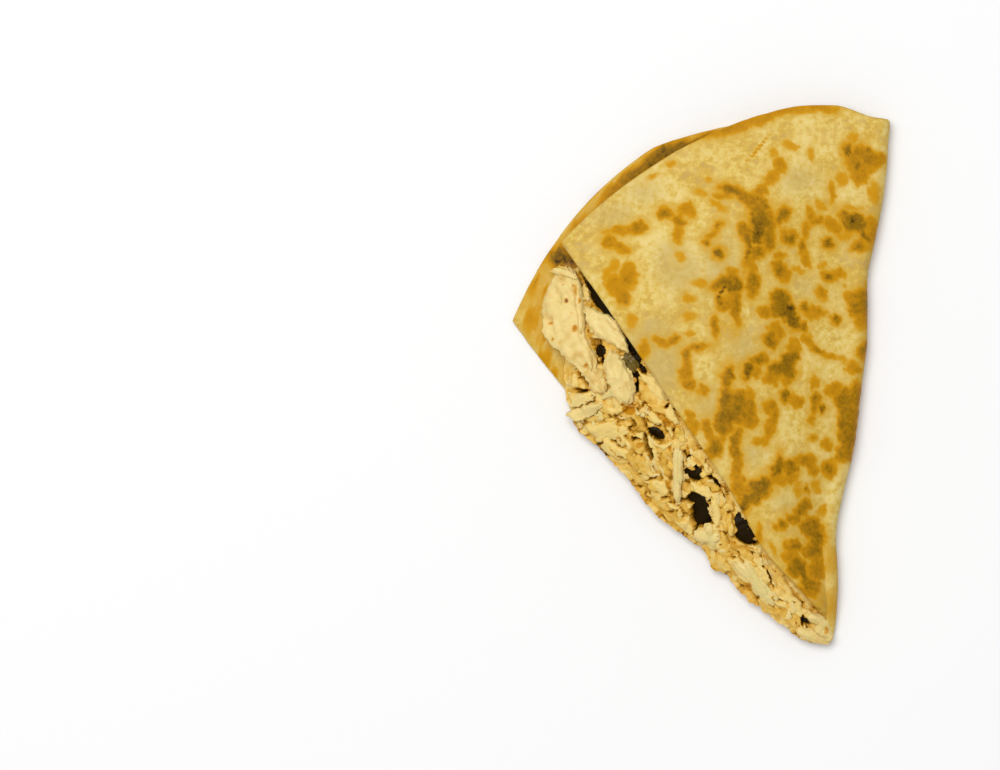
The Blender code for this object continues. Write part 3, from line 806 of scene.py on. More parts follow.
def scattered_scorches(
    seed: int, count: int, out_range: Place, along_range: Place
) -> list[Scorch]:
    """Make up griddle marks for a face that has none of its own.

    Args:
        seed: Starts the random draws, so that each run gives the same marks.
        count: How many clusters there are.
        out_range: Least and greatest place out from the fold, in mm.
        along_range: Least and greatest place along the fold, in mm.

    Returns:
        The marks.
    """
    draw = random.Random(seed)
    marks = []
    for _ in range(count):
        out = draw.uniform(*out_range)
        along = draw.uniform(*along_range)
        depth = draw.choice((GOLD, AMBER, 0.66, 0.74, BROWN))
        for _ in range(draw.randint(1, 4)):
            wide = draw.uniform(1.6, 5.0)
            marks.append(
                Scorch(
                    out + draw.gauss(0.0, 2.4),
                    along + draw.gauss(0.0, 2.4),
                    wide,
                    wide * draw.uniform(0.7, 1.8),
                    draw.uniform(-60.0, 60.0),
                    clamp(depth + draw.gauss(0.0, 0.06)),
                )
            )
    return marks


# --- finishes -------------------------------------------------------------------------------


@dataclass(frozen=True)
class GriddledDough:
    """Flour tortilla, rolled and griddled.

    Raw dough reads as mottled cream with a floury, matt skin. Where it touched the steel it
    goes gold, then amber, then brown, with ragged edges and a faint oily gloss.
    """

    name: str = "griddled_flour_dough"
    pale: str = "dcc47c"
    cream: str = "d3b65e"
    warm: str = "c8a346"
    tan: str = "bd9c54"
    damp: str = "b99f5e"
    gold: str = "c89b2a"
    amber: str = "c38a0c"
    deep: str = "b27b06"
    brown: str = "906704"
    dark: str = "775504"
    char: str = "3e2c03"
    ior: float = 1.45
    shine: float = 0.09
    cloud: float = 15.0 * MM
    mottle: float = 4.5 * MM
    fleck: float = 1.5 * MM
    grain: float = 0.9 * MM

    def make(self) -> bpy.types.Material:
        """Build the material."""
        material = bpy.data.materials.new(self.name)
        material.use_nodes = True
        tree = material.node_tree
        tree.nodes.clear()
        place = add_node(tree, "ShaderNodeTexCoord").outputs["Object"]
        # The toast attribute holds the griddle's browning, and painted shade along the rim, in
        # the cracks and at the lower leaf's lip
        toast = add_node(tree, "ShaderNodeAttribute", {"attribute_name": "toast"}).outputs["Fac"]
        damp = add_node(tree, "ShaderNodeAttribute", {"attribute_name": "damp"}).outputs["Fac"]
        clouds = add_node(
            tree,
            "ShaderNodeTexNoise",
            inputs={
                "Vector": place,
                "Scale": 1.0 / self.cloud,
                "Detail": 5.0,
                "Roughness": 0.62,
                "Distortion": 0.5,
            },
        )
        mottle = add_node(
            tree,
            "ShaderNodeTexNoise",
            inputs={
                "Vector": place,
                "Scale": 1.0 / self.mottle,
                "Detail": 4.0,
                "Roughness": 0.6,
                "Distortion": 0.3,
            },
        )
        grain = add_node(
            tree,
            "ShaderNodeTexNoise",
            inputs={
                "Vector": place,
                "Scale": 1.0 / self.grain,
                "Detail": 4.0,
                "Roughness": 0.68,
            },
        )
        fleck = add_node(
            tree,
            "ShaderNodeTexNoise",
            inputs={
                "Vector": place,
                "Scale": 1.0 / self.fleck,
                "Detail": 5.0,
                "Roughness": 0.62,
            },
        )
        flecked = add_node(
            tree,
            "ShaderNodeMath",
            {"operation": "MULTIPLY_ADD"},
            {0: fleck.outputs["Fac"], 1: 1.3, 2: -0.65},
        )
        floury = add_node(
            tree,
            "ShaderNodeMath",
            {"operation": "ADD", "use_clamp": True},
            {0: flecked.outputs["Value"], 1: clouds.outputs["Fac"]},
        )
        raw = add_node(
            tree,
            "ShaderNodeValToRGB",
            inputs={"Fac": floury.outputs["Value"]},
            stops=(
                (0.26, linear(self.tan)),
                (0.72, linear(self.pale)),
                (0.40, linear(self.warm)),
                (0.54, linear(self.cream)),
            ),
        )
        patches = add_node(
            tree,
            "ShaderNodeMapRange",
            {"interpolation_type": "SMOOTHSTEP"},
            {
                "Value": mottle.outputs["Fac"],
                "From Min": 0.42,
                "From Max": 0.66,
                "To Min": 0.0,
                "To Max": 0.35,
            },
        )
        dough = add_node(
            tree,
            "ShaderNodeMix",
            {"data_type": "RGBA"},
            {
                "Factor": patches.outputs["Result"],
                "A": raw.outputs["Color"],
                "B": linear(self.pale),
            },
        )
        soaked = add_node(
            tree,
            "ShaderNodeMix",
            {"data_type": "RGBA"},
            {"Factor": damp, "A": dough.outputs["Result"], "B": linear(self.damp)},
        )
        # The griddle bites the high spots first, so the toast is broken up by the grain
        ragged = add_node(
            tree,
            "ShaderNodeMapRange",
            inputs={
                "Value": grain.outputs["Fac"],
                "From Min": 0.25,
                "From Max": 0.75,
                "To Min": 0.84,
                "To Max": 1.16,
            },
        )
        patchy = add_node(
            tree,
            "ShaderNodeMapRange",
            inputs={
                "Value": fleck.outputs["Fac"],
                "From Min": 0.25,
                "From Max": 0.75,
                "To Min": 0.80,
                "To Max": 1.20,
            },
        )
        bitten = add_node(
            tree,
            "ShaderNodeMath",
            {"operation": "MULTIPLY"},
            {0: toast, 1: ragged.outputs["Result"]},
        )
        browned = add_node(
            tree,
            "ShaderNodeMath",
            {"operation": "MULTIPLY"},
            {0: bitten.outputs["Value"], 1: patchy.outputs["Result"]},
        )
        toasted = add_node(
            tree,
            "ShaderNodeValToRGB",
            inputs={"Fac": browned.outputs["Value"]},
            stops=(
                (0.14, linear(self.gold)),
                (1.0, linear(self.char)),
                (0.38, linear(self.amber)),
                (0.56, linear(self.deep)),
                (0.72, linear(self.brown)),
                (0.87, linear(self.dark)),
            ),
        )
        cooked = add_node(
            tree,
            "ShaderNodeMapRange",
            {"interpolation_type": "SMOOTHSTEP"},
            {"Value": browned.outputs["Value"], "From Min": 0.03, "From Max": 0.34},
        )
        skin = add_node(
            tree,
            "ShaderNodeMix",
            {"data_type": "RGBA"},
            {
                "Factor": cooked.outputs["Result"],
                "A": soaked.outputs["Result"],
                "B": toasted.outputs["Color"],
            },
        )
        gloss = add_node(
            tree,
            "ShaderNodeMapRange",
            inputs={"Value": browned.outputs["Value"], "To Min": 0.66, "To Max": 0.46},
        )
        # Floury skin: grain of under a millimetre over soft dimples
        rough_skin = add_node(
            tree,
            "ShaderNodeBump",
            inputs={
                "Strength": 0.5,
                "Distance": 0.12 * MM,
                "Height": grain.outputs["Fac"],
            },
        )
        dimples = add_node(
            tree,
            "ShaderNodeBump",
            inputs={
                "Strength": 0.5,
                "Distance": 0.35 * MM,
                "Height": mottle.outputs["Fac"],
                "Normal": rough_skin.outputs["Normal"],
            },
        )
        shader = add_node(
            tree,
            "ShaderNodeBsdfPrincipled",
            inputs={
                "Base Color": skin.outputs["Result"],
                "Roughness": gloss.outputs["Result"],
                "IOR": self.ior,
                "Specular IOR Level": self.shine,
                "Normal": dimples.outputs["Normal"],
            },
        )
        add_node(
            tree,
            "ShaderNodeOutputMaterial",
            inputs={"Surface": shader.outputs["BSDF"]},
        )
        return material


# Pan juice from a thin amber film to dark, sticky bits
JUICE_COLOURS = ("d8a840", "bd7f10", "7a5006", "2c1e04")


@dataclass(frozen=True)
class Food:
    """A moist food with a mottled colour, fine surface grain and a wet gloss.

    The "tone" attribute moves each separate scrap from the first colour to the second.
    """

    name: str
    colours: tuple[str, ...]
    stain: str
    stained: Place
    spot: float
    grain: float
    relief: float
    roughness: Place
    ior: float = 1.40
    soft: float = 0.0
    soft_scale: float = 1.5 * MM
    coat: float = 0.0
    stretch: Vector = field(default_factory=lambda: Vector((1.0, 1.0, 1.0)))

    def shades(self) -> tuple[tuple[float, Colour], ...]:
        """Spread the colours over the tone, with the first and the last one leading."""
        last = len(self.colours) - 1
        spread = [(mix(0.12, 0.92, n / last), linear(c)) for n, c in enumerate(self.colours)]
        return (spread[0], spread[-1], *spread[1:-1])

    def make(self) -> bpy.types.Material:
        """Build the material."""
        material = bpy.data.materials.new(self.name)
        material.use_nodes = True
        tree = material.node_tree
        tree.nodes.clear()
        place = add_node(tree, "ShaderNodeTexCoord").outputs["Object"]
        tone = add_node(tree, "ShaderNodeAttribute", {"attribute_name": "tone"}).outputs["Fac"]
        spots = add_node(
            tree,
            "ShaderNodeTexNoise",
            inputs={"Vector": place, "Scale": 1.0 / self.spot, "Detail": 4.0, "Roughness": 0.6},
        )
        grain = add_node(
            tree,
            "ShaderNodeTexNoise",
            inputs={"Vector": place, "Scale": 1.0 / self.grain, "Detail": 3.0},
        )
        wander = add_node(
            tree,
            "ShaderNodeMath",
            {"operation": "MULTIPLY_ADD"},
            {0: spots.outputs["Fac"], 1: 0.8, 2: -0.4},
        )
        shade = add_node(
            tree,
            "ShaderNodeMath",
            {"operation": "ADD", "use_clamp": True},
            {0: wander.outputs["Value"], 1: tone},
        )
        flesh = add_node(
            tree,
            "ShaderNodeValToRGB",
            inputs={"Fac": shade.outputs["Value"]},
            stops=self.shades(),
        )
        stains = add_node(
            tree,
            "ShaderNodeMapRange",
            {"interpolation_type": "SMOOTHSTEP"},
            {
                "Value": grain.outputs["Fac"],
                "From Min": self.stained[0],
                "From Max": self.stained[1],
            },
        )
        colour = add_node(
            tree,
            "ShaderNodeMix",
            {"data_type": "RGBA"},
            {
                "Factor": stains.outputs["Result"],
                "A": flesh.outputs["Color"],
                "B": linear(self.stain),
            },
        )
        gloss = add_node(
            tree,
            "ShaderNodeMapRange",
            inputs={
                "Value": spots.outputs["Fac"],
                "From Min": 0.3,
                "From Max": 0.7,
                "To Min": self.roughness[0],
                "To Max": self.roughness[1],
            },
        )
        bump = add_node(
            tree,
            "ShaderNodeBump",
            inputs={
                "Strength": 0.6,
                "Distance": self.relief,
                "Height": grain.outputs["Fac"],
            },
        )
        sauce = add_node(tree, "ShaderNodeAttribute", {"attribute_name": "sauce"}).outputs["Fac"]
        wet = add_node(
            tree,
            "ShaderNodeMapRange",
            {"interpolation_type": "SMOOTHSTEP"},
            {"Value": sauce, "From Min": 0.06, "From Max": 0.42},
        )
        juice = add_node(
            tree,
            "ShaderNodeValToRGB",
            inputs={"Fac": sauce},
            stops=(
                (0.22, linear(JUICE_COLOURS[0])),
                (0.96, linear(JUICE_COLOURS[3])),
                (0.50, linear(JUICE_COLOURS[1])),
                (0.74, linear(JUICE_COLOURS[2])),
            ),
        )
        colour = add_node(
            tree,
            "ShaderNodeMix",
            {"data_type": "RGBA"},
            {
                "Factor": wet.outputs["Result"],
                "A": colour.outputs["Result"],
                "B": juice.outputs["Color"],
            },
        )
        shader = add_node(
            tree,
            "ShaderNodeBsdfPrincipled",
            inputs={
                "Base Color": colour.outputs["Result"],
                "Roughness": gloss.outputs["Result"],
                "IOR": self.ior,
                "Subsurface Weight": self.soft,
                "Subsurface Scale": self.soft_scale,
                "Coat Weight": self.coat,
                "Coat Roughness": 0.12,
                "Normal": bump.outputs["Normal"],
            },
        )
        add_node(
            tree,
            "ShaderNodeOutputMaterial",
            inputs={"Surface": shader.outputs["BSDF"]},
        )
        return material


# Poached breast meat: pale, matt fibres with a damp gloss and a little pan juice
BREAST_MEAT = Food(
    name="poached_chicken_breast",
    colours=("dfc67e", "d0ae60", "b08330"),
    stain="b98a3a",
    stained=(0.66, 0.80),
    spot=3.0 * MM,
    grain=0.7 * MM,
    relief=0.14 * MM,
    roughness=(0.38, 0.58),
    soft=0.12,
)

# Melted white and yellow cheese: smooth, waxy and translucent
MELTED_CHEESE = Food(
    name="melted_cheese",
    colours=("e6c468", "dcae40", "c8922a"),
    stain="c08a24",
    stained=(0.70, 0.86),
    spot=2.5 * MM,
    grain=1.1 * MM,
    relief=0.06 * MM,
    roughness=(0.26, 0.42),
    soft=0.15,
)

# Cheese, juice and meat crumbs pressed together: mottled from cream to brown, with the near-black
# end for painted shade in the hollows
SAUCE_BOUND_MEAT = Food(
    name="cheese_bound_meat",
    colours=("e3c676", "d8ac4a", "b4801c", "6e4a08", "241803"),
    stain="b98424",
    stained=(0.66, 0.84),
    spot=2.2 * MM,
    grain=0.8 * MM,
    relief=0.22 * MM,
    roughness=(0.34, 0.52),
    ior=1.20,
)

# Black bean: a taut, wet skin that is nearly black
BEAN_SKIN = Food(
    name="black_bean_skin",
    colours=("1c1202", "241803", "3a2905"),
    stain="120b02",
    stained=(0.60, 0.75),
    spot=2.0 * MM,
    grain=0.6 * MM,
    relief=0.05 * MM,
    roughness=(0.34, 0.50),
    ior=1.14,
)

# Roasted green pepper: olive flesh with a wet skin
PEPPER_FLESH = Food(
    name="roasted_green_pepper",
    colours=("7a6428", "55460f", "241c04"),
    stain="2c2408",
    stained=(0.58, 0.72),
    spot=1.8 * MM,
    grain=0.6 * MM,
    relief=0.10 * MM,
    roughness=(0.26, 0.40),
    ior=1.33,
)


# --- the tortilla ---------------------------------------------------------------------------


class Leaf(Enum):
    """The three parts of the folded sheet."""

    LOWER = "lower"
    FOLD = "fold"
    UPPER = "upper"


@dataclass(frozen=True)
class Seat:
    """Where a point of the flat sheet goes: its leaf, how far across, and its row."""

    leaf: Leaf
    across: float
    row: float


@dataclass
class Tortilla:
    """The folded sheet, with its rounded rims, blisters and griddle marks."""

    shape: FoldShape
    rows: int = 200
    lower_columns: int = 46
    fold_columns: int = 14
    upper_columns: int = 146
    half: float = 0.92 * MM
    rim_half: float = 0.62 * MM
    rim_taper: float = 2.6 * MM
    rim_inset: float = 0.55 * MM
    rim_round: float = 0.45 * MM
    rim_cuts: int = 2
    wave: Place = (16.0, 0.30)
    nibble: Place = (2.2, 0.16)
    blister: float = 0.16 * MM
    dimple: Place = (5.5, 0.14)
    ripple: Place = (13.0, 0.30)
    peel_out: float = 66.0
    peel_along: float = 93.0
    peel_deep: float = 0.75 * MM
    pinch: float = 0.38
    pinch_over: Place = (3.0 * MM, 13.0 * MM)
    lining_glow: float = 0.19

    def seat_of(self, column: int, row: float) -> Seat:
        """Say which leaf a column of the flat sheet falls on."""
        if column < self.lower_columns:
            return Seat(Leaf.LOWER, 1.0 - column / self.lower_columns, row)
        column -= self.lower_columns
        if column <= self.fold_columns:
            return Seat(Leaf.FOLD, column / self.fold_columns, row)
        return Seat(Leaf.UPPER, (column - self.fold_columns) / self.upper_columns, row)

    def uneven(self, place: Vector) -> float:
        """How far a rim draws in at a place, as no cut or rim is quite true."""
        long_wave = 0.5 + 0.5 * noise.noise(place / (self.wave[0] * MM))
        short_wave = 0.5 + 0.5 * noise.noise(place / (self.nibble[0] * MM))
        return (self.wave[1] * long_wave + self.nibble[1] * short_wave) * MM

    def leaf_point(self, seat: Seat) -> Vector:
        """Middle surface of a flat leaf at a seat."""
        shape = self.shape
        upper = seat.leaf is Leaf.UPPER
        widest = shape.upper_angle if upper else shape.lower_angle
        rim = shape.upper_rim if upper else shape.lower_rim
        cut = shape.upper_cut if upper else shape.lower_cut
        height = shape.upper_height if upper else shape.lower_height
        reach = rim(widest * seat.across) - self.rim_inset
        reach -= self.uneven(shape.polar(reach, widest * seat.across, 0.0))
        radius = mix(shape.tip_start + self.rim_inset, reach, seat.row)
        inner = shape.fold_angle(radius)
        outer = cut(radius)
        drawn_in = self.rim_inset + self.uneven(shape.polar(radius, outer, 0.01))
        outer = max(outer - math.degrees(drawn_in / radius), inner + 0.4)
        angle = mix(inner, outer, seat.across)
        return shape.polar(radius, angle, height(radius, angle))

    def fold_point(self, seat: Seat) -> Vector:
        """Middle surface of the rounded fold at a seat."""
        shape = self.shape
        reach = shape.upper_rim(0.0) - self.rim_inset
        reach -= self.uneven(shape.polar(reach, 0.0, 0.0))
        radius = mix(shape.tip_start + self.rim_inset, reach, seat.row)
        turn = math.pi * seat.across
        bend = shape.fold_half(radius) - shape.sheet / 2
        start = shape.polar(radius, shape.fold_angle(radius), shape.fold_half(radius))
        return start + Vector((bend * math.sin(turn), 0.0, -bend * math.cos(turn)))

    def taper(self, seat: Seat) -> float:
        """Half the thickness at a seat, which thins towards every free edge."""
        length = self.shape.tortilla_radius
        gaps = [(1.0 - seat.row) * length, seat.row * length]
        if seat.leaf is not Leaf.FOLD:
            span = math.radians(self.shape.upper_angle)
            gaps.append((1.0 - seat.across) * span * seat.row * length)
        edge = smooth_ramp(min(gaps), -0.3 * self.rim_taper, self.rim_taper)
        return mix(self.rim_half, self.half, edge)

    def sag(self, point: Vector, seat: Seat) -> float:
        """Drop of the upper leaf beside the crease that runs down from the nick in its rim."""
        if seat.leaf is not Leaf.UPPER:
            return 0.0
        out, along = -point.x / MM, point.y / MM
        beside = smooth_ramp(out, self.peel_out - 0.5, self.peel_out + 0.4)
        near = smooth_ramp(along, self.peel_along, self.peel_along + 4.0)
        return self.peel_deep * beside * near

    def pinched(self, point: Vector, seat: Seat) -> float:
        """Height of a point once the fold and the upper leaf are pressed down at the tip."""
        if seat.leaf is Leaf.LOWER:
            return point.z
        radius = math.hypot(point.x, point.y)
        kept = mix(self.pinch, 1.0, smooth_ramp(radius, *self.pinch_over))
        floor = self.shape.sheet / 2
        return floor + (point.z - floor) * kept

    def relief_at(self, point: Vector) -> float:
        """Soft dimples and ripples of the baked sheet."""
        fine = noise.noise(point / (self.dimple[0] * MM)) * self.dimple[1]
        broad = noise.noise(point / (self.ripple[0] * MM)) * self.ripple[1]
        return (fine + broad) * MM

    def build(self, material: bpy.types.Material) -> bpy.types.Object:
        """Fold, thicken and brown the sheet.

        Args:
            material: The griddled dough.

        Returns:
            The finished piece.
        """
        columns = self.lower_columns + self.fold_columns + self.upper_columns
        bm = bmesh.new()
        toast_and_shade_layer = bm.verts.layers.float.new("toast")
        damp_layer = bm.verts.layers.float.new("damp")
        bmesh.ops.create_grid(bm, x_segments=columns, y_segments=self.rows, size=1.0)
        seats = {}
        for vert in bm.verts:
            column = round((vert.co.x + 1.0) / 2.0 * columns)
            seat = self.seat_of(column, (vert.co.y + 1.0) / 2.0)
            seats[vert] = seat
            vert.co = self.fold_point(seat) if seat.leaf is Leaf.FOLD else self.leaf_point(seat)
            vert.co.z = self.pinched(vert.co, seat) - self.sag(vert.co, seat)
        bmesh.ops.reverse_faces(bm, faces=bm.faces)
        bm.normal_update()
        middles = {vert: (vert.co.copy(), vert.normal.copy()) for vert in seats}
        bmesh.ops.duplicate(bm, geom=[*bm.verts, *bm.edges, *bm.faces])
        inside = [vert for vert in bm.verts if vert not in seats]
        outside = [vert for vert in bm.verts if vert in seats]
        tree = kdtree.KDTree(len(outside))
        for number, vert in enumerate(outside):
            tree.insert(middles[vert][0], number)
        tree.balance()
        partner = {vert: outside[tree.find(vert.co)[1]] for vert in inside}
        inner_faces = {face for vert in inside for face in vert.link_faces}
        bmesh.ops.reverse_faces(bm, faces=list(inner_faces))
        self.brown(outside, inside, seats, partner, middles, toast_and_shade_layer, damp_layer)
        self.close_rims(bm)
        bmesh.ops.translate(bm, verts=bm.verts, vec=self.shape.tip)
        return make_piece("folded_tortilla", bm, material, ("tortilla",), 80.0)

    def brown(
        self,
        outside: list[bmesh.types.BMVert],
        inside: list[bmesh.types.BMVert],
        seats: dict[bmesh.types.BMVert, Seat],
        partner: dict[bmesh.types.BMVert, bmesh.types.BMVert],
        middles: dict[bmesh.types.BMVert, tuple[Vector, Vector]],
        toast_and_shade_layer: bmesh.types.BMLayerItem,
        damp_layer: bmesh.types.BMLayerItem,
    ) -> None:
        """Move both skins off the middle surface and write how browned each point is, with its
        painted shade.
        """
        top = ToastField([Scorch(*row) for row in UPPER_SCORCHES + FOLD_SCORCHES])
        under = ToastField(scattered_scorches(11, 130, (2.0, 88.0), (4.0, 124.0)), seed=3.0)
        # Painted shade down in the upper leaf's cracks and creases
        crack_shade = ToastField(
            [Scorch(*row) for row in CRACKS],
            seed=1.0,
            coarse=(3.0, 0.3),
            fine=(0.8, 0.15),
            edge=(-0.1, 0.25),
            rim=1.0,
            halo=0.0,
        )
        # Browning and painted shade on the lower leaf's lining at the lip
        lip = [Scorch(*row) for row in LIP_SCORCHES_AND_SHADE]
        specks = scattered_scorches(23, 12, (10.0, 70.0), (20.0, 100.0))
        lining = ToastField(lip + specks, seed=9.0)
        soaked = [Scorch(*row, 0.0, 0.6) for row in DAMP_AREAS]
        damp = ToastField(soaked, seed=5.0, coarse=(7.0, 2.6), edge=(-4.0, 3.0), halo=0.0)
        for vert in outside:
            seat = seats[vert]
            middle, normal = middles[vert]
            out, along = -middle.x / MM, middle.y / MM
            turned = 0.0 if seat.leaf is Leaf.LOWER else 1.0
            if seat.leaf is Leaf.FOLD:
                turned = smooth_ramp(seat.across, 0.1, 0.45)
            toast = 0.0
            if turned < 1.0:
                toast = under.at(out, along) * (1.0 - turned)
            if turned > 0.0:
                toast = max(toast, top.at(out, along) * turned, crack_shade.at(out, along))
                vert[damp_layer] = damp.at(out, along) * turned
            vert[toast_and_shade_layer] = toast
            raised = self.blister * smooth_ramp(toast, 0.2, 0.8)
            lift = self.taper(seat) + raised
            if seat.leaf is not Leaf.LOWER:
                lift += self.relief_at(middle)
            vert.co = middle + normal * lift
            vert.co.z = max(vert.co.z, 0.0)
        for vert in inside:
            seat = seats[partner[vert]]
            middle, normal = middles[partner[vert]]
            out, along = -middle.x / MM, middle.y / MM
            glow = self.lining_glow * (1.0 + 0.5 * noise.noise(middle / (6.0 * MM)))
            vert[toast_and_shade_layer] = max(lining.at(out, along), glow)
            sunk = self.taper(seat)
            if seat.leaf is Leaf.UPPER:
                sunk -= self.relief_at(middle)
            vert.co = middle - normal * sunk

    def close_rims(self, bm: bmesh.types.BMesh) -> None:
        """Join the two skins round every free edge with a rounded band."""
        border = [edge for edge in bm.edges if edge.is_boundary]
        rim_faces = bmesh.ops.bridge_loops(bm, edges=border)["faces"]
        bm.normal_update()
        kept = set(border)
        crossing = {edge for face in rim_faces for edge in face.edges if edge not in kept}
        tree = kdtree.KDTree(len(crossing))
        outwards = []
        for number, edge in enumerate(crossing):
            first, second = edge.verts
            tree.insert((first.co + second.co) / 2, number)
            outward = sum((face.normal for face in edge.link_faces), Vector()).normalized()
            outwards.append((outward, (first.co - second.co).length / 2))
        tree.balance()
        made = bmesh.ops.subdivide_edges(
            bm, edges=list(crossing), cuts=self.rim_cuts, use_grid_fill=True
        )
        for item in made["geom_inner"]:
            if isinstance(item, bmesh.types.BMVert):
                place, number, away = tree.find(item.co)
                outward, half = outwards[number]
                part = clamp(away / half) if half else 0.0
                item.co += outward * self.rim_round * math.sqrt(1.0 - part * part)


# --- the filling ----------------------------------------------------------------------------

# Pan juice, chilli and toasted bits on the cut face: out, along, across, lengthwise, turn, depth
SAUCE_SPOTS = (
    (55.2, 51.3, 3.4, 2.6, 0.0, 0.50),
    (54.4, 52.7, 2.6, 0.8, 10.0, 0.64),
    (56.9, 52.5, 0.9, 0.6, 0.0, 0.80),
    (47.8, 51.1, 2.2, 0.9, -10.0, 0.52),
    (46.0, 49.4, 2.6, 1.9, -40.0, 0.54),
    (46.4, 48.8, 1.0, 2.2, 28.0, 0.66),
    (51.8, 43.3, 2.2, 1.4, 0.0, 0.48),
    (44.6, 43.4, 0.8, 1.4, -15.0, 0.56),
    (43.9, 34.6, 1.0, 3.0, 20.0, 0.54),
    (53.0, 49.6, 1.6, 2.4, 0.0, 0.20),
    (22.4, 12.0, 1.9, 3.6, 42.0, 0.46),
    (21.9, 12.9, 0.7, 1.6, 38.0, 0.56),
    (26.7, 15.0, 0.7, 3.2, 8.0, 0.40),
    (24.3, 13.9, 0.8, 0.5, -30.0, 0.54),
    (30.6, 15.0, 2.8, 0.8, 0.0, 0.40),
    (2.4, 3.9, 1.2, 1.9, 0.0, 0.44),
    (2.5, 4.7, 0.5, 0.5, 0.0, 0.60),
    (26.8, 22.4, 1.4, 0.8, -20.0, 0.60),
    (24.1, 21.7, 1.4, 0.6, 0.0, 0.52),
    (28.0, 17.9, 0.6, 0.6, 0.0, 0.56),
    (16.2, 10.5, 0.7, 0.8, 0.0, 0.50),
    (39.9, 24.1, 1.8, 0.5, 0.0, 0.50),
    (72.9, 75.7, 0.9, 1.1, 0.0, 1.0),
    (71.4, 72.8, 0.5, 0.6, 0.0, 0.66),
    (76.0, 69.9, 1.3, 0.9, 30.0, 0.50),
    (75.1, 66.2, 0.4, 0.9, -20.0, 0.80),
    (73.4, 65.6, 0.5, 0.8, 0.0, 0.42),
    (70.1, 69.4, 1.4, 1.7, 0.0, 0.54),
    (66.7, 61.0, 0.6, 1.4, -40.0, 0.62),
    (74.0, 79.5, 0.4, 0.4, 0.0, 0.60),
    (71.6, 79.5, 0.5, 0.4, 0.0, 0.80),
    (70.9, 78.4, 0.8, 3.2, 5.0, 0.44),
    (69.7, 76.0, 0.7, 1.6, 8.0, 0.52),
)
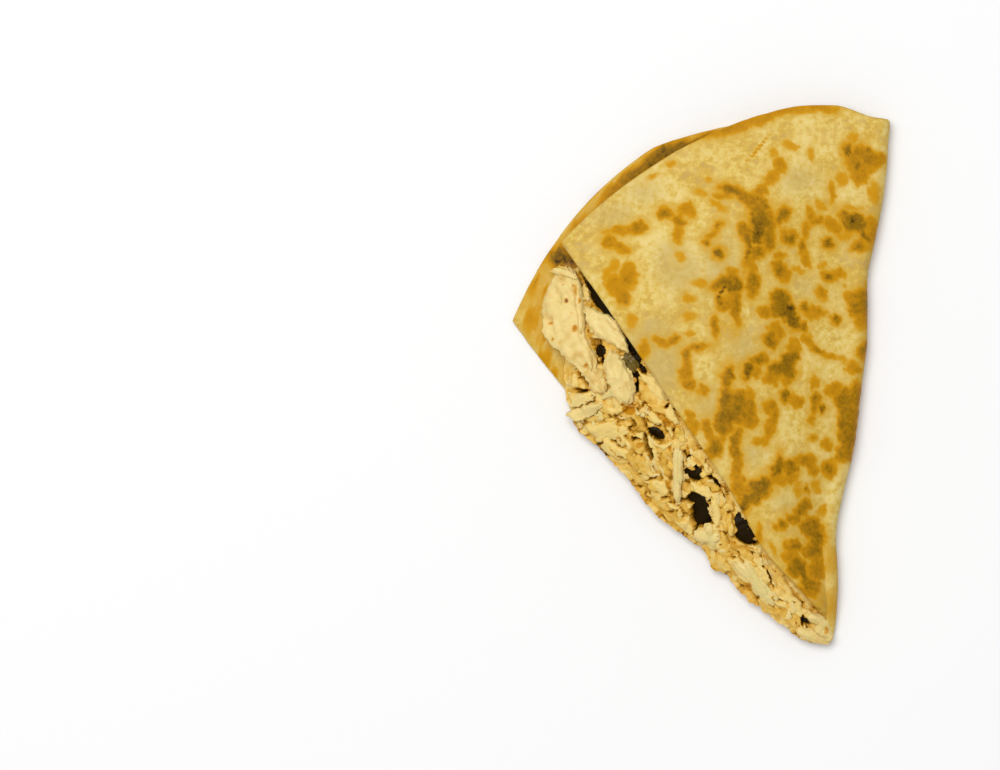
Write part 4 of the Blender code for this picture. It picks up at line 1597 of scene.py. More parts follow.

# Hollows between the pieces, pressed in and painted dark as shade: out, along, across,
# lengthwise, turn, darkness
HOLLOWS = (
    (73.2, 85.2, 7.4, 2.6, 4.0, 0.66),
    (69.4, 83.6, 2.4, 3.0, 20.0, 0.82),
    (67.4, 80.0, 2.2, 6.0, 36.0, 1.0),
    (66.4, 77.8, 2.4, 4.0, 36.0, 1.0),
    (64.4, 76.4, 3.6, 4.6, 50.0, 1.0),
    (62.6, 74.8, 4.2, 3.4, -8.0, 1.0),
    (60.6, 73.2, 2.4, 2.6, 0.0, 1.0),
    (58.9, 71.0, 0.7, 6.0, 32.0, 0.90),
    (56.6, 66.8, 2.3, 5.2, 22.0, 1.0),
    (54.9, 63.6, 2.4, 3.2, 28.0, 1.0),
    (53.2, 61.4, 1.4, 2.8, 50.0, 1.0),
    (56.4, 62.6, 2.7, 4.6, 40.0, 0.90),
    (54.7, 59.7, 1.9, 2.0, 0.0, 1.0),
    (54.5, 58.0, 1.7, 2.6, 8.0, 0.84),
    (54.2, 56.6, 1.2, 2.0, 5.0, 1.0),
    (63.9, 64.6, 3.1, 3.0, 30.0, 1.0),
    (63.1, 62.3, 1.1, 2.6, -8.0, 0.76),
    (65.5, 66.7, 2.8, 2.2, 0.0, 0.60),
    (67.2, 69.0, 0.6, 1.0, 25.0, 0.80),
    (68.0, 58.6, 1.1, 2.6, 30.0, 0.74),
    (66.0, 56.5, 0.5, 2.4, 38.0, 1.0),
    (66.7, 57.0, 1.1, 2.6, 34.0, 0.72),
    (66.9, 54.5, 3.0, 0.8, 8.0, 0.82),
    (67.6, 54.7, 1.2, 0.5, 20.0, 1.0),
    (63.9, 53.4, 0.9, 1.7, 5.0, 1.0),
    (64.5, 52.5, 1.4, 0.6, 30.0, 0.94),
    (67.0, 51.4, 3.6, 0.4, 14.0, 0.60),
    (59.4, 49.2, 0.6, 1.4, 15.0, 0.84),
    (59.0, 48.6, 0.7, 0.5, 0.0, 0.80),
    (61.2, 47.7, 2.2, 0.3, 24.0, 0.56),
    (53.9, 48.1, 1.3, 2.2, 12.0, 0.66),
    (54.7, 47.1, 0.8, 0.6, 35.0, 0.96),
    (53.6, 44.5, 0.7, 1.3, 10.0, 0.96),
    (52.6, 44.5, 1.6, 0.5, 0.0, 0.80),
    (50.8, 48.0, 0.4, 1.0, 10.0, 0.90),
    (48.4, 46.3, 4.4, 2.3, -28.0, 1.0),
    (51.0, 45.5, 1.0, 1.4, 0.0, 0.78),
    (50.2, 43.6, 1.5, 3.4, 24.0, 0.74),
    (49.0, 41.2, 1.8, 2.8, 20.0, 0.78),
    (48.8, 41.2, 0.8, 1.2, 0.0, 1.0),
    (46.4, 53.4, 0.5, 1.5, -38.0, 0.94),
    (52.0, 52.9, 0.7, 1.3, -25.0, 0.66),
    (50.9, 50.8, 0.4, 0.8, 0.0, 0.66),
    (43.4, 41.6, 0.4, 3.8, 5.0, 0.72),
    (39.9, 41.7, 0.6, 2.2, -25.0, 1.0),
    (37.9, 37.7, 3.5, 3.3, 0.0, 1.0),
    (39.8, 38.0, 1.9, 1.9, -40.0, 0.92),
    (37.9, 39.5, 1.1, 1.2, 0.0, 1.0),
    (39.8, 35.6, 0.8, 0.4, 0.0, 0.80),
    (36.6, 39.6, 1.0, 1.4, 0.0, 0.56),
    (57.6, 41.2, 0.3, 2.6, 42.0, 0.62),
    (55.9, 40.0, 1.3, 0.5, -10.0, 0.80),
    (52.6, 41.0, 0.3, 1.1, -25.0, 0.62),
    (53.6, 38.0, 0.9, 0.4, 0.0, 0.60),
    (48.2, 35.6, 0.7, 0.7, 0.0, 0.96),
    (49.0, 35.2, 1.5, 0.3, 22.0, 0.74),
    (50.6, 33.1, 1.2, 0.5, 0.0, 0.70),
    (47.9, 32.2, 0.5, 0.4, 0.0, 0.94),
    (44.8, 31.3, 1.7, 0.7, 10.0, 0.70),
    (42.6, 28.1, 1.2, 0.6, 10.0, 0.72),
    (41.9, 28.8, 0.4, 0.9, 15.0, 0.66),
    (41.2, 28.7, 0.4, 0.9, -30.0, 0.66),
    (40.4, 31.2, 2.2, 1.1, 0.0, 0.68),
    (38.6, 31.4, 2.0, 1.9, -20.0, 1.0),
    (36.8, 31.7, 4.2, 2.8, -20.0, 1.0),
    (35.7, 29.2, 4.8, 4.2, 0.0, 1.0),
    (35.6, 27.0, 4.9, 3.4, 0.0, 1.0),
    (36.3, 24.4, 0.9, 2.3, 5.0, 1.0),
    (32.8, 26.8, 1.4, 0.9, -10.0, 0.94),
    (38.2, 33.0, 1.0, 0.9, 0.0, 0.56),
    (34.4, 37.5, 1.5, 0.6, -14.0, 0.94),
    (32.9, 36.6, 0.9, 2.4, 44.0, 0.78),
    (32.2, 35.7, 0.6, 1.6, 44.0, 1.0),
    (33.2, 34.6, 2.0, 0.6, -18.0, 0.74),
    (33.9, 31.9, 0.5, 1.0, -30.0, 0.96),
    (30.7, 33.8, 0.3, 2.2, 34.0, 0.70),
    (26.6, 28.0, 1.3, 3.4, -8.0, 1.0),
    (25.6, 26.8, 2.8, 3.6, 20.0, 1.0),
    (24.6, 24.4, 4.6, 3.2, 10.0, 1.0),
    (23.4, 23.0, 4.4, 1.4, -4.0, 1.0),
    (23.6, 21.6, 4.4, 0.6, -4.0, 0.46),
    (25.6, 20.4, 0.4, 0.7, 30.0, 0.78),
    (26.4, 19.2, 1.5, 0.4, 4.0, 0.68),
    (24.4, 18.5, 0.4, 2.4, 46.0, 0.58),
    (20.7, 15.4, 0.3, 3.0, 34.0, 0.50),
    (19.2, 17.7, 0.4, 0.7, 30.0, 0.86),
    (17.8, 16.1, 0.4, 1.8, 36.0, 0.90),
    (17.1, 14.4, 0.4, 2.2, 14.0, 0.80),
    (16.3, 13.0, 0.6, 1.6, 20.0, 0.52),
    (16.1, 8.4, 0.3, 2.8, 52.0, 0.56),
    (11.0, 9.9, 1.0, 0.4, 0.0, 0.60),
    (8.5, 10.0, 0.9, 0.4, -8.0, 0.76),
    (11.4, 7.0, 0.6, 0.4, 30.0, 0.84),
    (9.7, 4.7, 0.4, 1.3, 34.0, 0.56),
    (8.2, 5.6, 0.8, 2.7, 4.0, 0.96),
    (7.3, 5.6, 1.6, 1.5, 30.0, 1.0),
    (6.3, 5.2, 1.3, 0.8, 20.0, 1.0),
    (5.2, 3.2, 0.5, 0.3, 0.0, 0.70),
    (31.0, 19.6, 0.8, 0.9, 0.0, 0.64),
    (30.0, 21.7, 0.5, 0.5, 0.0, 0.60),
)

# Flakes that can be told apart in the pressed mass: start, end, width, level, tone and bow
FLAKES = (
    ((68.9, 58.6), (68.5, 54.8), 1.3, 0.7, 0.06, 0.0),
    ((68.4, 57.4), (66.8, 54.8), 1.0, 0.3, 0.30, 0.0),
    ((69.6, 52.6), (64.2, 53.7), 2.7, 0.7, 0.04, 0.10),
    ((63.6, 66.4), (59.4, 62.6), 3.4, 0.1, 0.34, 0.0),
    ((67.0, 67.4), (64.4, 65.8), 2.6, -0.8, 0.52, 0.0),
    ((65.0, 55.0), (61.6, 52.0), 3.4, 0.2, 0.10, 0.0),
    ((63.0, 52.4), (58.0, 50.0), 2.6, 0.4, 0.20, 0.05),
    ((65.6, 47.6), (58.6, 49.8), 2.0, 0.3, 0.26, 0.0),
    ((64.6, 45.6), (57.6, 47.8), 3.4, 0.5, 0.06, 0.08),
    ((62.4, 43.6), (55.2, 46.6), 3.0, 0.3, 0.08, 0.0),
    ((57.6, 48.6), (56.2, 42.6), 1.8, 0.4, 0.40, 0.0),
    ((60.4, 43.0), (54.4, 40.4), 3.2, 0.6, 0.10, 0.06),
    ((56.2, 45.6), (55.2, 42.2), 1.1, 0.9, 0.02, 0.0),
    ((58.4, 55.0), (57.2, 50.2), 3.4, 0.2, 0.14, 0.0),
    ((53.4, 60.6), (47.6, 54.4), 2.5, 0.7, 0.02, -0.06),
    ((53.8, 57.8), (49.0, 53.6), 2.6, 0.3, 0.26, 0.0),
    ((52.8, 55.6), (47.0, 52.2), 3.0, 0.3, 0.36, 0.0),
    ((50.5, 53.0), (45.0, 52.0), 2.4, 0.5, 0.30, 0.0),
    ((49.4, 56.2), (44.6, 50.4), 2.6, 0.4, 0.16, 0.0),
    ((46.4, 53.0), (43.6, 49.4), 2.0, 0.8, 0.04, 0.0),
    ((54.4, 51.0), (51.4, 46.2), 2.4, 0.3, 0.40, 0.0),
    ((51.6, 51.8), (47.4, 49.2), 1.8, 0.6, 0.10, 0.0),
    ((49.8, 49.4), (44.2, 46.4), 1.6, 0.8, 0.10, -0.16),
    ((49.4, 45.2), (44.0, 44.9), 1.1, 0.9, 0.0, 0.28),
    ((50.4, 45.6), (47.3, 40.6), 1.1, 0.8, 0.02, -0.04),
    ((48.4, 45.2), (46.2, 41.6), 1.6, 0.4, 0.22, 0.0),
    ((46.6, 44.6), (44.4, 40.8), 2.4, 0.3, 0.36, 0.0),
    ((55.6, 44.6), (53.8, 41.8), 1.3, 0.6, 0.12, 0.0),
    ((54.4, 43.8), (50.4, 41.4), 2.8, 0.2, 0.30, 0.0),
    ((54.6, 41.6), (51.2, 37.4), 2.6, 0.4, 0.34, 0.0),
    ((52.0, 40.8), (49.0, 36.2), 2.3, 0.5, 0.26, 0.0),
    ((49.6, 40.2), (47.8, 36.0), 1.5, 0.7, 0.14, 0.06),
    ((47.6, 40.6), (46.1, 35.6), 1.7, 0.5, 0.34, 0.0),
    ((46.2, 41.6), (44.4, 36.0), 2.4, 0.4, 0.40, 0.0),
    ((45.2, 37.6), (43.6, 33.6), 1.3, 0.6, 0.14, 0.0),
    ((50.6, 36.2), (46.0, 33.5), 2.1, 0.4, 0.20, 0.0),
    ((47.4, 35.2), (44.0, 32.0), 2.6, 0.3, 0.12, 0.0),
    ((48.6, 32.6), (43.4, 30.2), 2.0, 0.3, 0.16, 0.0),
    ((46.0, 30.2), (41.6, 26.4), 2.6, 0.3, 0.34, 0.0),
    ((43.6, 29.8), (40.0, 26.8), 1.2, 0.8, 0.08, -0.2),
    ((42.8, 28.0), (38.0, 24.2), 3.4, 0.2, 0.36, 0.0),
    ((40.6, 26.2), (36.4, 23.4), 2.2, 0.5, 0.10, 0.0),
    ((41.2, 31.6), (38.8, 28.2), 1.6, 0.2, 0.36, 0.0),
    ((38.0, 24.8), (35.8, 21.8), 2.2, 0.4, 0.24, 0.0),
    ((42.0, 42.8), (39.6, 39.4), 1.6, 0.4, 0.20, 0.0),
    ((39.4, 43.2), (35.9, 40.6), 2.3, 0.6, 0.20, -0.15),
    ((39.6, 41.0), (37.4, 39.6), 1.6, 0.7, 0.10, 0.0),
    ((36.4, 41.0), (34.6, 38.2), 1.8, 0.8, 0.04, 0.0),
    ((38.8, 35.8), (35.2, 35.4), 1.6, 0.6, 0.12, 0.2),
    ((36.4, 37.0), (32.6, 35.0), 2.3, 0.5, 0.30, 0.0),
    ((38.0, 34.6), (33.2, 32.8), 2.1, 0.9, 0.02, -0.08),
    ((33.0, 34.4), (30.4, 31.0), 2.4, 0.5, 0.22, 0.0),
    ((34.6, 33.4), (33.0, 31.4), 1.2, 0.8, 0.02, 0.0),
    ((32.6, 32.6), (31.2, 25.6), 2.3, 0.6, 0.06, 0.0),
    ((31.2, 34.8), (28.2, 30.2), 1.8, 0.3, 0.26, 0.0),
    ((30.6, 31.0), (28.8, 24.6), 1.9, 0.3, 0.30, 0.0),
    ((29.0, 29.8), (27.6, 23.4), 1.3, 0.6, 0.20, 0.0),
    ((36.6, 22.8), (31.0, 25.6), 3.6, 0.5, 0.04, 0.0),
    ((33.4, 25.2), (30.6, 20.6), 3.4, 0.6, 0.08, 0.0),
    ((30.6, 24.4), (28.8, 19.8), 2.2, 0.3, 0.30, 0.0),
    ((31.2, 18.6), (27.4, 15.0), 3.6, 0.3, 0.26, 0.0),
    ((30.8, 21.4), (26.8, 17.4), 2.4, 0.2, 0.30, 0.0),
    ((27.6, 22.0), (20.6, 18.2), 2.2, 0.3, 0.36, 0.0),
    ((27.4, 19.2), (20.2, 13.0), 3.0, 0.6, 0.12, 0.04),
    ((24.8, 19.6), (17.6, 13.8), 2.2, 0.3, 0.16, 0.0),
    ((26.8, 16.8), (22.4, 12.8), 2.6, 0.1, 0.34, 0.0),
    ((21.8, 19.6), (16.0, 12.2), 2.0, 0.5, 0.06, -0.06),
    ((17.8, 17.2), (11.2, 10.8), 1.6, 0.2, 0.22, -0.04),
    ((21.6, 13.8), (16.0, 9.2), 3.0, 0.6, 0.04, 0.0),
    ((16.4, 12.4), (9.2, 9.2), 2.2, 0.4, 0.12, 0.0),
    ((19.4, 9.6), (13.4, 6.2), 2.8, 0.3, 0.30, 0.05),
    ((16.0, 9.6), (9.4, 7.6), 2.2, 0.4, 0.16, 0.0),
    ((14.4, 7.2), (9.0, 3.8), 2.4, 0.2, 0.26, 0.0),
    ((11.6, 9.0), (4.2, 6.6), 2.4, 0.4, 0.10, 0.06),
)


@dataclass(frozen=True)
class Flake:
    """A flake in the pressed mass, with sizes in mm as seen from above."""

    start: Place
    end: Place
    width: float
    level: float
    tone: float
    bow: float = 0.0
    dome: float = 0.26
    shadow: float = 0.34

    def at(self, out: float, along: float) -> tuple[float, float]:
        """Rise of the flake at a place, and how far inside its edge the place is, in mm."""
        run_out, run_on = self.end[0] - self.start[0], self.end[1] - self.start[1]
        length = math.hypot(run_out, run_on)
        run_out, run_on = run_out / length, run_on / length
        off_out = out - (self.start[0] + self.end[0]) / 2
        off_on = along - (self.start[1] + self.end[1]) / 2
        ahead = off_out * run_out + off_on * run_on
        side = off_on * run_out - off_out * run_on
        reach = 2.0 * ahead / length
        side -= self.bow * length * (1.0 - min(1.0, reach * reach))
        if abs(ahead) > length / 2 + 1.2 or abs(side) > self.width / 2 + 1.2:
            return -9.0, -9.0
        seed = self.start[0] * 3.7 + self.end[1] * 1.9
        torn = noise.noise_vector(Vector((side / 1.0 + seed, ahead / 1.6, seed)))
        fray = noise.noise(Vector((side / 0.42, ahead / 0.42 + seed, seed)))
        ahead += 1.0 * torn.y + 0.30 * fray
        side += 0.55 * torn.x + 0.22 * fray
        across = abs(2.0 * side / self.width)
        lengthwise = abs(2.0 * ahead / length)
        inside = (1.0 - (across**3 + lengthwise**5) ** 0.4) * self.width / 2
        fibre = noise.noise(Vector((side / 0.38, ahead / 3.4, seed)))
        swell = self.dome * self.width * max(0.0, 1.0 - across * across) * 0.5
        return self.level + swell + 0.16 * fibre + 0.22 * torn.z, inside


class PressedMass:
    """Shreds, flakes and cheese pressed into one matted mass, as a relief over the cut face."""

    cell = 3.0
    loose = 560
    reach = 0.55

    def __init__(self, shape: FoldShape, seed: int = 29) -> None:
        """Gather the flakes told apart and scatter small ones under them."""
        flakes = [Flake(*row) for row in FLAKES]
        draw = random.Random(seed)
        while len(flakes) < self.loose:
            radius = draw.uniform(5.0, 114.0)
            inner, outer = shape.face_edges(radius * MM)
            if draw.random() * 24.0 > math.radians(outer - inner) * radius:
                continue
            turn = math.radians(mix(inner, outer, draw.uniform(-0.04, 1.04)))
            out, along = radius * math.sin(turn), radius * math.cos(turn)
            spread = mix(10.0, 55.0, smooth_ramp(radius, 20.0, 60.0))
            heading = math.radians(draw.gauss(40.0, spread))
            half = draw.triangular(1.2, 4.4, 2.0)
            half_out, half_on = half * math.sin(heading), half * math.cos(heading)
            flakes.append(
                Flake(
                    (out - half_out, along - half_on),
                    (out + half_out, along + half_on),
                    draw.triangular(1.1, 3.4, 1.9),
                    draw.uniform(-0.9, -0.05),
                    clamp(draw.gauss(0.24, 0.10)),
                    draw.gauss(0.0, 0.08),
                )
            )
        self.cells: dict[tuple[int, int], list[Flake]] = {}
        for flake in flakes:
            low_out = min(flake.start[0], flake.end[0]) - flake.width / 2 - 1.2
            high_out = max(flake.start[0], flake.end[0]) + flake.width / 2 + 1.2
            low_on = min(flake.start[1], flake.end[1]) - flake.width / 2 - 1.2
            high_on = max(flake.start[1], flake.end[1]) + flake.width / 2 + 1.2
            for column in range(self.cell_of(low_out), self.cell_of(high_out) + 1):
                for row in range(self.cell_of(low_on), self.cell_of(high_on) + 1):
                    self.cells.setdefault((column, row), []).append(flake)

    def cell_of(self, value: float) -> int:
        """Number of the cell that a value in mm falls in."""
        return math.floor(value / self.cell)

    def at(self, out: float, along: float) -> tuple[float, float]:
        """Rise in mm above the core's face, and tone, at a place, with painted shade in the gaps
        and beside higher flakes.
        """
        place = Vector((out, along, 0.0))
        # Where no flake covers, the mass lies low and its tone is darker: painted shade in the
        # gaps, partly juice
        top = -0.8 + 0.4 * noise.noise(place / 1.1)
        tone = 0.42 + 0.2 * noise.noise(place / 1.6)
        found = []
        for flake in self.cells.get((self.cell_of(out), self.cell_of(along)), ()):
            rise, inside = flake.at(out, along)
            if inside <= -self.reach:
                continue
            found.append((rise, inside, flake))
            edge = smooth_ramp(inside, 0.0, 0.45)
            height = mix(rise - 0.42, rise, edge)
            if inside > 0.0 and height > top:
                top = height
                tone = flake.tone + 0.10 * (1.0 - edge)
        # Painted shadow: a higher flake darkens the tone just outside its edge
        for rise, inside, flake in found:
            if inside < 0.0 and rise > top:
                near = (1.0 + inside / self.reach) ** 1.5
                tone += flake.shadow * near * clamp((rise - top) / 0.9)
        return top, tone


@dataclass(frozen=True)
class Strand:
    """A torn length of food: where it lies and how its body is shaped.

    Points are measured from the tip. Bow and arch are parts of the length, fibre, lump and
    fray are parts of the body's own size, and grain is the spacing and depth of its fibres.
    """

    start: Vector
    end: Vector
    normal: Vector
    width: float
    thick: float
    bow: float = 0.0
    arch: float = 0.0
    twist: float = 0.0
    squareness: float = 0.90
    blunt: float = 5.0
    fibre: float = 0.14
    fibres: float = 2.6
    lump: float = 0.22
    fray: float = 0.10
    taper: float = 0.0
    grain: Place = (0.7 * MM, 0.20 * MM)
    ragged: float = 0.18 * MM
    tone: float = 0.3
    seed: float = 0.0
    edges: tuple[Place, ...] = ()
    ridge: float = 0.0

    def edge_at(self, ahead: float) -> Place:
        """Middle and half width of the outline, a part of the way from -1 to 1 along."""
        if not self.edges:
            return 0.0, self.width / 2
        last = len(self.edges) - 1
        station = clamp((ahead * 0.5 + 0.5) * len(self.edges) - 0.5, 0.0, last)
        first = min(int(station), last - 1)
        far, near = (mix(*pair, station - first) for pair in zip(*self.edges[first : first + 2]))
        return (near - far) / 2 * MM, (near + far) / 2 * MM

    def body_at(self, ball: Vector) -> Vector:
        """Carry a point of a sphere to the strand's own lengthwise, side and upward steps."""
        length = (self.end - self.start).length
        ahead = math.asin(clamp(ball.z, -1.0, 1.0)) / (0.5 * math.pi)
        turn = math.atan2(ball.y, ball.x) + self.twist * ahead
        girth = math.sqrt(max(0.0, 1.0 - abs(ahead) ** self.blunt))
        body = girth * (1.0 - self.taper * 0.5 * (1.0 + ahead))
        right, up = math.cos(turn), math.sin(turn)
        grain = noise.noise(
            Vector((right * self.fibres + self.seed, up * self.fibres, ahead * 1.1))
        )
        swell = noise.noise(Vector((self.seed * 1.7, ahead * 2.1, 3.1)))
        notch = noise.noise(Vector((ahead * 5.0, right * 1.3, self.seed)))
        body *= 1.0 + self.fibre * 2.0 * grain + self.lump * (swell + 0.8 * notch)
        end = math.copysign(4.0, ahead)
        torn = noise.noise(Vector((right * 2.4 + self.seed, up * 2.4, end)))
        lengthwise = ahead * length / 2 * (1.0 + 2.0 * self.fray * torn * abs(ahead) ** 3)
        wander = noise.noise(Vector((ahead * 1.6, self.seed, 7.7))) * self.lump * self.width
        curve = 1.0 - ahead * ahead
        centre, half = self.edge_at(ahead)
        sideways = centre * girth + signed_power(right, self.squareness) * body * half
        nick = noise.noise(Vector((lengthwise / (0.9 * MM), right * 1.5, self.seed)))
        sideways += self.ragged * nick * right * girth
        spacing, depth = self.grain
        fibres = noise.noise(Vector((sideways / spacing, lengthwise / (8 * spacing), self.seed)))
        above = signed_power(up, self.squareness) * body * self.thick / 2
        above += depth * fibres * girth
        crease = noise.noise(
            Vector((sideways / (2.4 * MM), lengthwise / (7.0 * MM), self.seed + 4.0))
        )
        above += self.ridge * (0.25 - abs(crease)) * girth * max(0.0, up)
        sideways += self.bow * length * curve + wander
        above += self.arch * length * curve
        return Vector((lengthwise, sideways, above))

    def shape_verts(self, verts: Iterable[bmesh.types.BMVert]) -> None:
        """Turn a sphere's points into the strand's."""
        axis = (self.end - self.start).normalized()
        upward = (self.normal - self.normal.dot(axis) * axis).normalized()
        side = upward.cross(axis)
        middle = (self.start + self.end) / 2
        for vert in verts:
            lengthwise, sideways, above = self.body_at(vert.co)
            vert.co = middle + axis * lengthwise + side * sideways + upward * above


class Batch:
    """One piece in the making: its mesh, and the two shades that its points carry."""

    def __init__(self) -> None:
        """Start an empty mesh."""
        self.bm = bmesh.new()
        self.tone = self.bm.verts.layers.float.new("tone")
        self.sauce = self.bm.verts.layers.float.new("sauce")

    def add_sphere(self, sides: int, rings: int) -> list[bmesh.types.BMVert]:
        """Add a unit sphere and return its points.

        Each size of sphere is made once and kept as a mesh, because adding one straight to a
        big bmesh is slow.
        """
        name = f"ball_{sides}_{rings}"
        ball = bpy.data.meshes.get(name)
        if ball is None:
            ball = bpy.data.meshes.new(name)
            one = Batch()
            bmesh.ops.create_uvsphere(one.bm, u_segments=sides, v_segments=rings, radius=1.0)
            one.bm.to_mesh(ball)
            one.bm.free()
        before = len(self.bm.verts)
        self.bm.from_mesh(ball)
        self.bm.verts.ensure_lookup_table()
        return self.bm.verts[before:]


@dataclass
class FaceKit:
    """Lays strands on the cut face and keeps them off the leaves."""

    shape: FoldShape
    margin: float = 0.25 * MM
    sauces: ToastField = field(
        default_factory=lambda: ToastField(
            [Scorch(*row) for row in SAUCE_SPOTS],
            seed=2.0,
            coarse=(1.8, 0.22),
            fine=(0.6, 0.22),
            edge=(-0.3, 0.3),
            rim=1.0,
            halo=0.2,
            halo_width=0.7,
            join=4.5,
        )
    )
    hollows: ToastField = field(
        default_factory=lambda: ToastField(
            [Scorch(*row) for row in HOLLOWS],
            seed=4.0,
            coarse=(1.6, 0.22),
            fine=(0.55, 0.26),
            edge=(-0.16, 0.22),
            rim=1.0,
            halo=0.15,
            halo_width=0.5,
            join=1.5,
        )
    )

    def sauce_at(self, point: Vector) -> float:
        """Sauce at a point measured from the tip."""
        return self.sauces.at(-point.x / MM, point.y / MM)

    def lay(
        self,
        batch: Batch,
        start: Place,
        end: Place,
        lift: float,
        fineness: tuple[int, int] = (8, 7),
        over: bool = False,
        level: float = 0.0,
        patch: float = 0.0,
        **looks: float,
    ) -> None:
        """Lay one strand along the cut face.

        Args:
            batch: The piece that it joins.
            start: One end, in mm out and along.
            end: The other end, in mm out and along.
            lift: Height of its middle above the CAD filling's face, in mm.
            fineness: How many sides and rings it has.
            over: True where it may lie over the upper leaf's edge.
            level: How far it lies level instead of along the sloping face.
            patch: How much its tone wanders from place to place.
            **looks: The strand's other sizes and looks, with width and thick in mm.
        """
        middle = ((start[0] + end[0]) / 2, (start[1] + end[1]) / 2)
        normal = self.shape.face_normal(middle).lerp(Vector((0.0, 0.0, 1.0)), level).normalized()
        looks["width"] *= MM
        looks["thick"] *= MM
        rise = normal * (lift * MM)
        strand = Strand(
            self.shape.face_place(start) + rise,
            self.shape.face_place(end) + rise,
            normal,
            **looks,
        )
        verts = batch.add_sphere(*fineness)
        strand.shape_verts(verts)
        for vert in verts:
            wander = patch * noise.noise(vert.co / (1.7 * MM)) if patch else 0.0
            vert[batch.tone] = strand.tone + wander
            vert[batch.sauce] = self.sauce_at(vert.co)
            if over:
                vert.co.z = max(vert.co.z, self.shape.sheet)
            else:
                self.shape.keep_clear(vert.co, self.margin)

    def finish(
        self,
        name: str,
        batch: Batch,
        material: bpy.types.Material,
        slot: Slot,
        nodes: Iterable[str] = (),
        sharp: float = 50.0,
    ) -> bpy.types.Object:
        """Set the laid strands on the wedge as one piece."""
        bmesh.ops.recalc_face_normals(batch.bm, faces=batch.bm.faces)
        bmesh.ops.translate(batch.bm, verts=batch.bm.verts, vec=self.shape.tip)
        return make_piece(name, batch.bm, material, nodes, sharp)


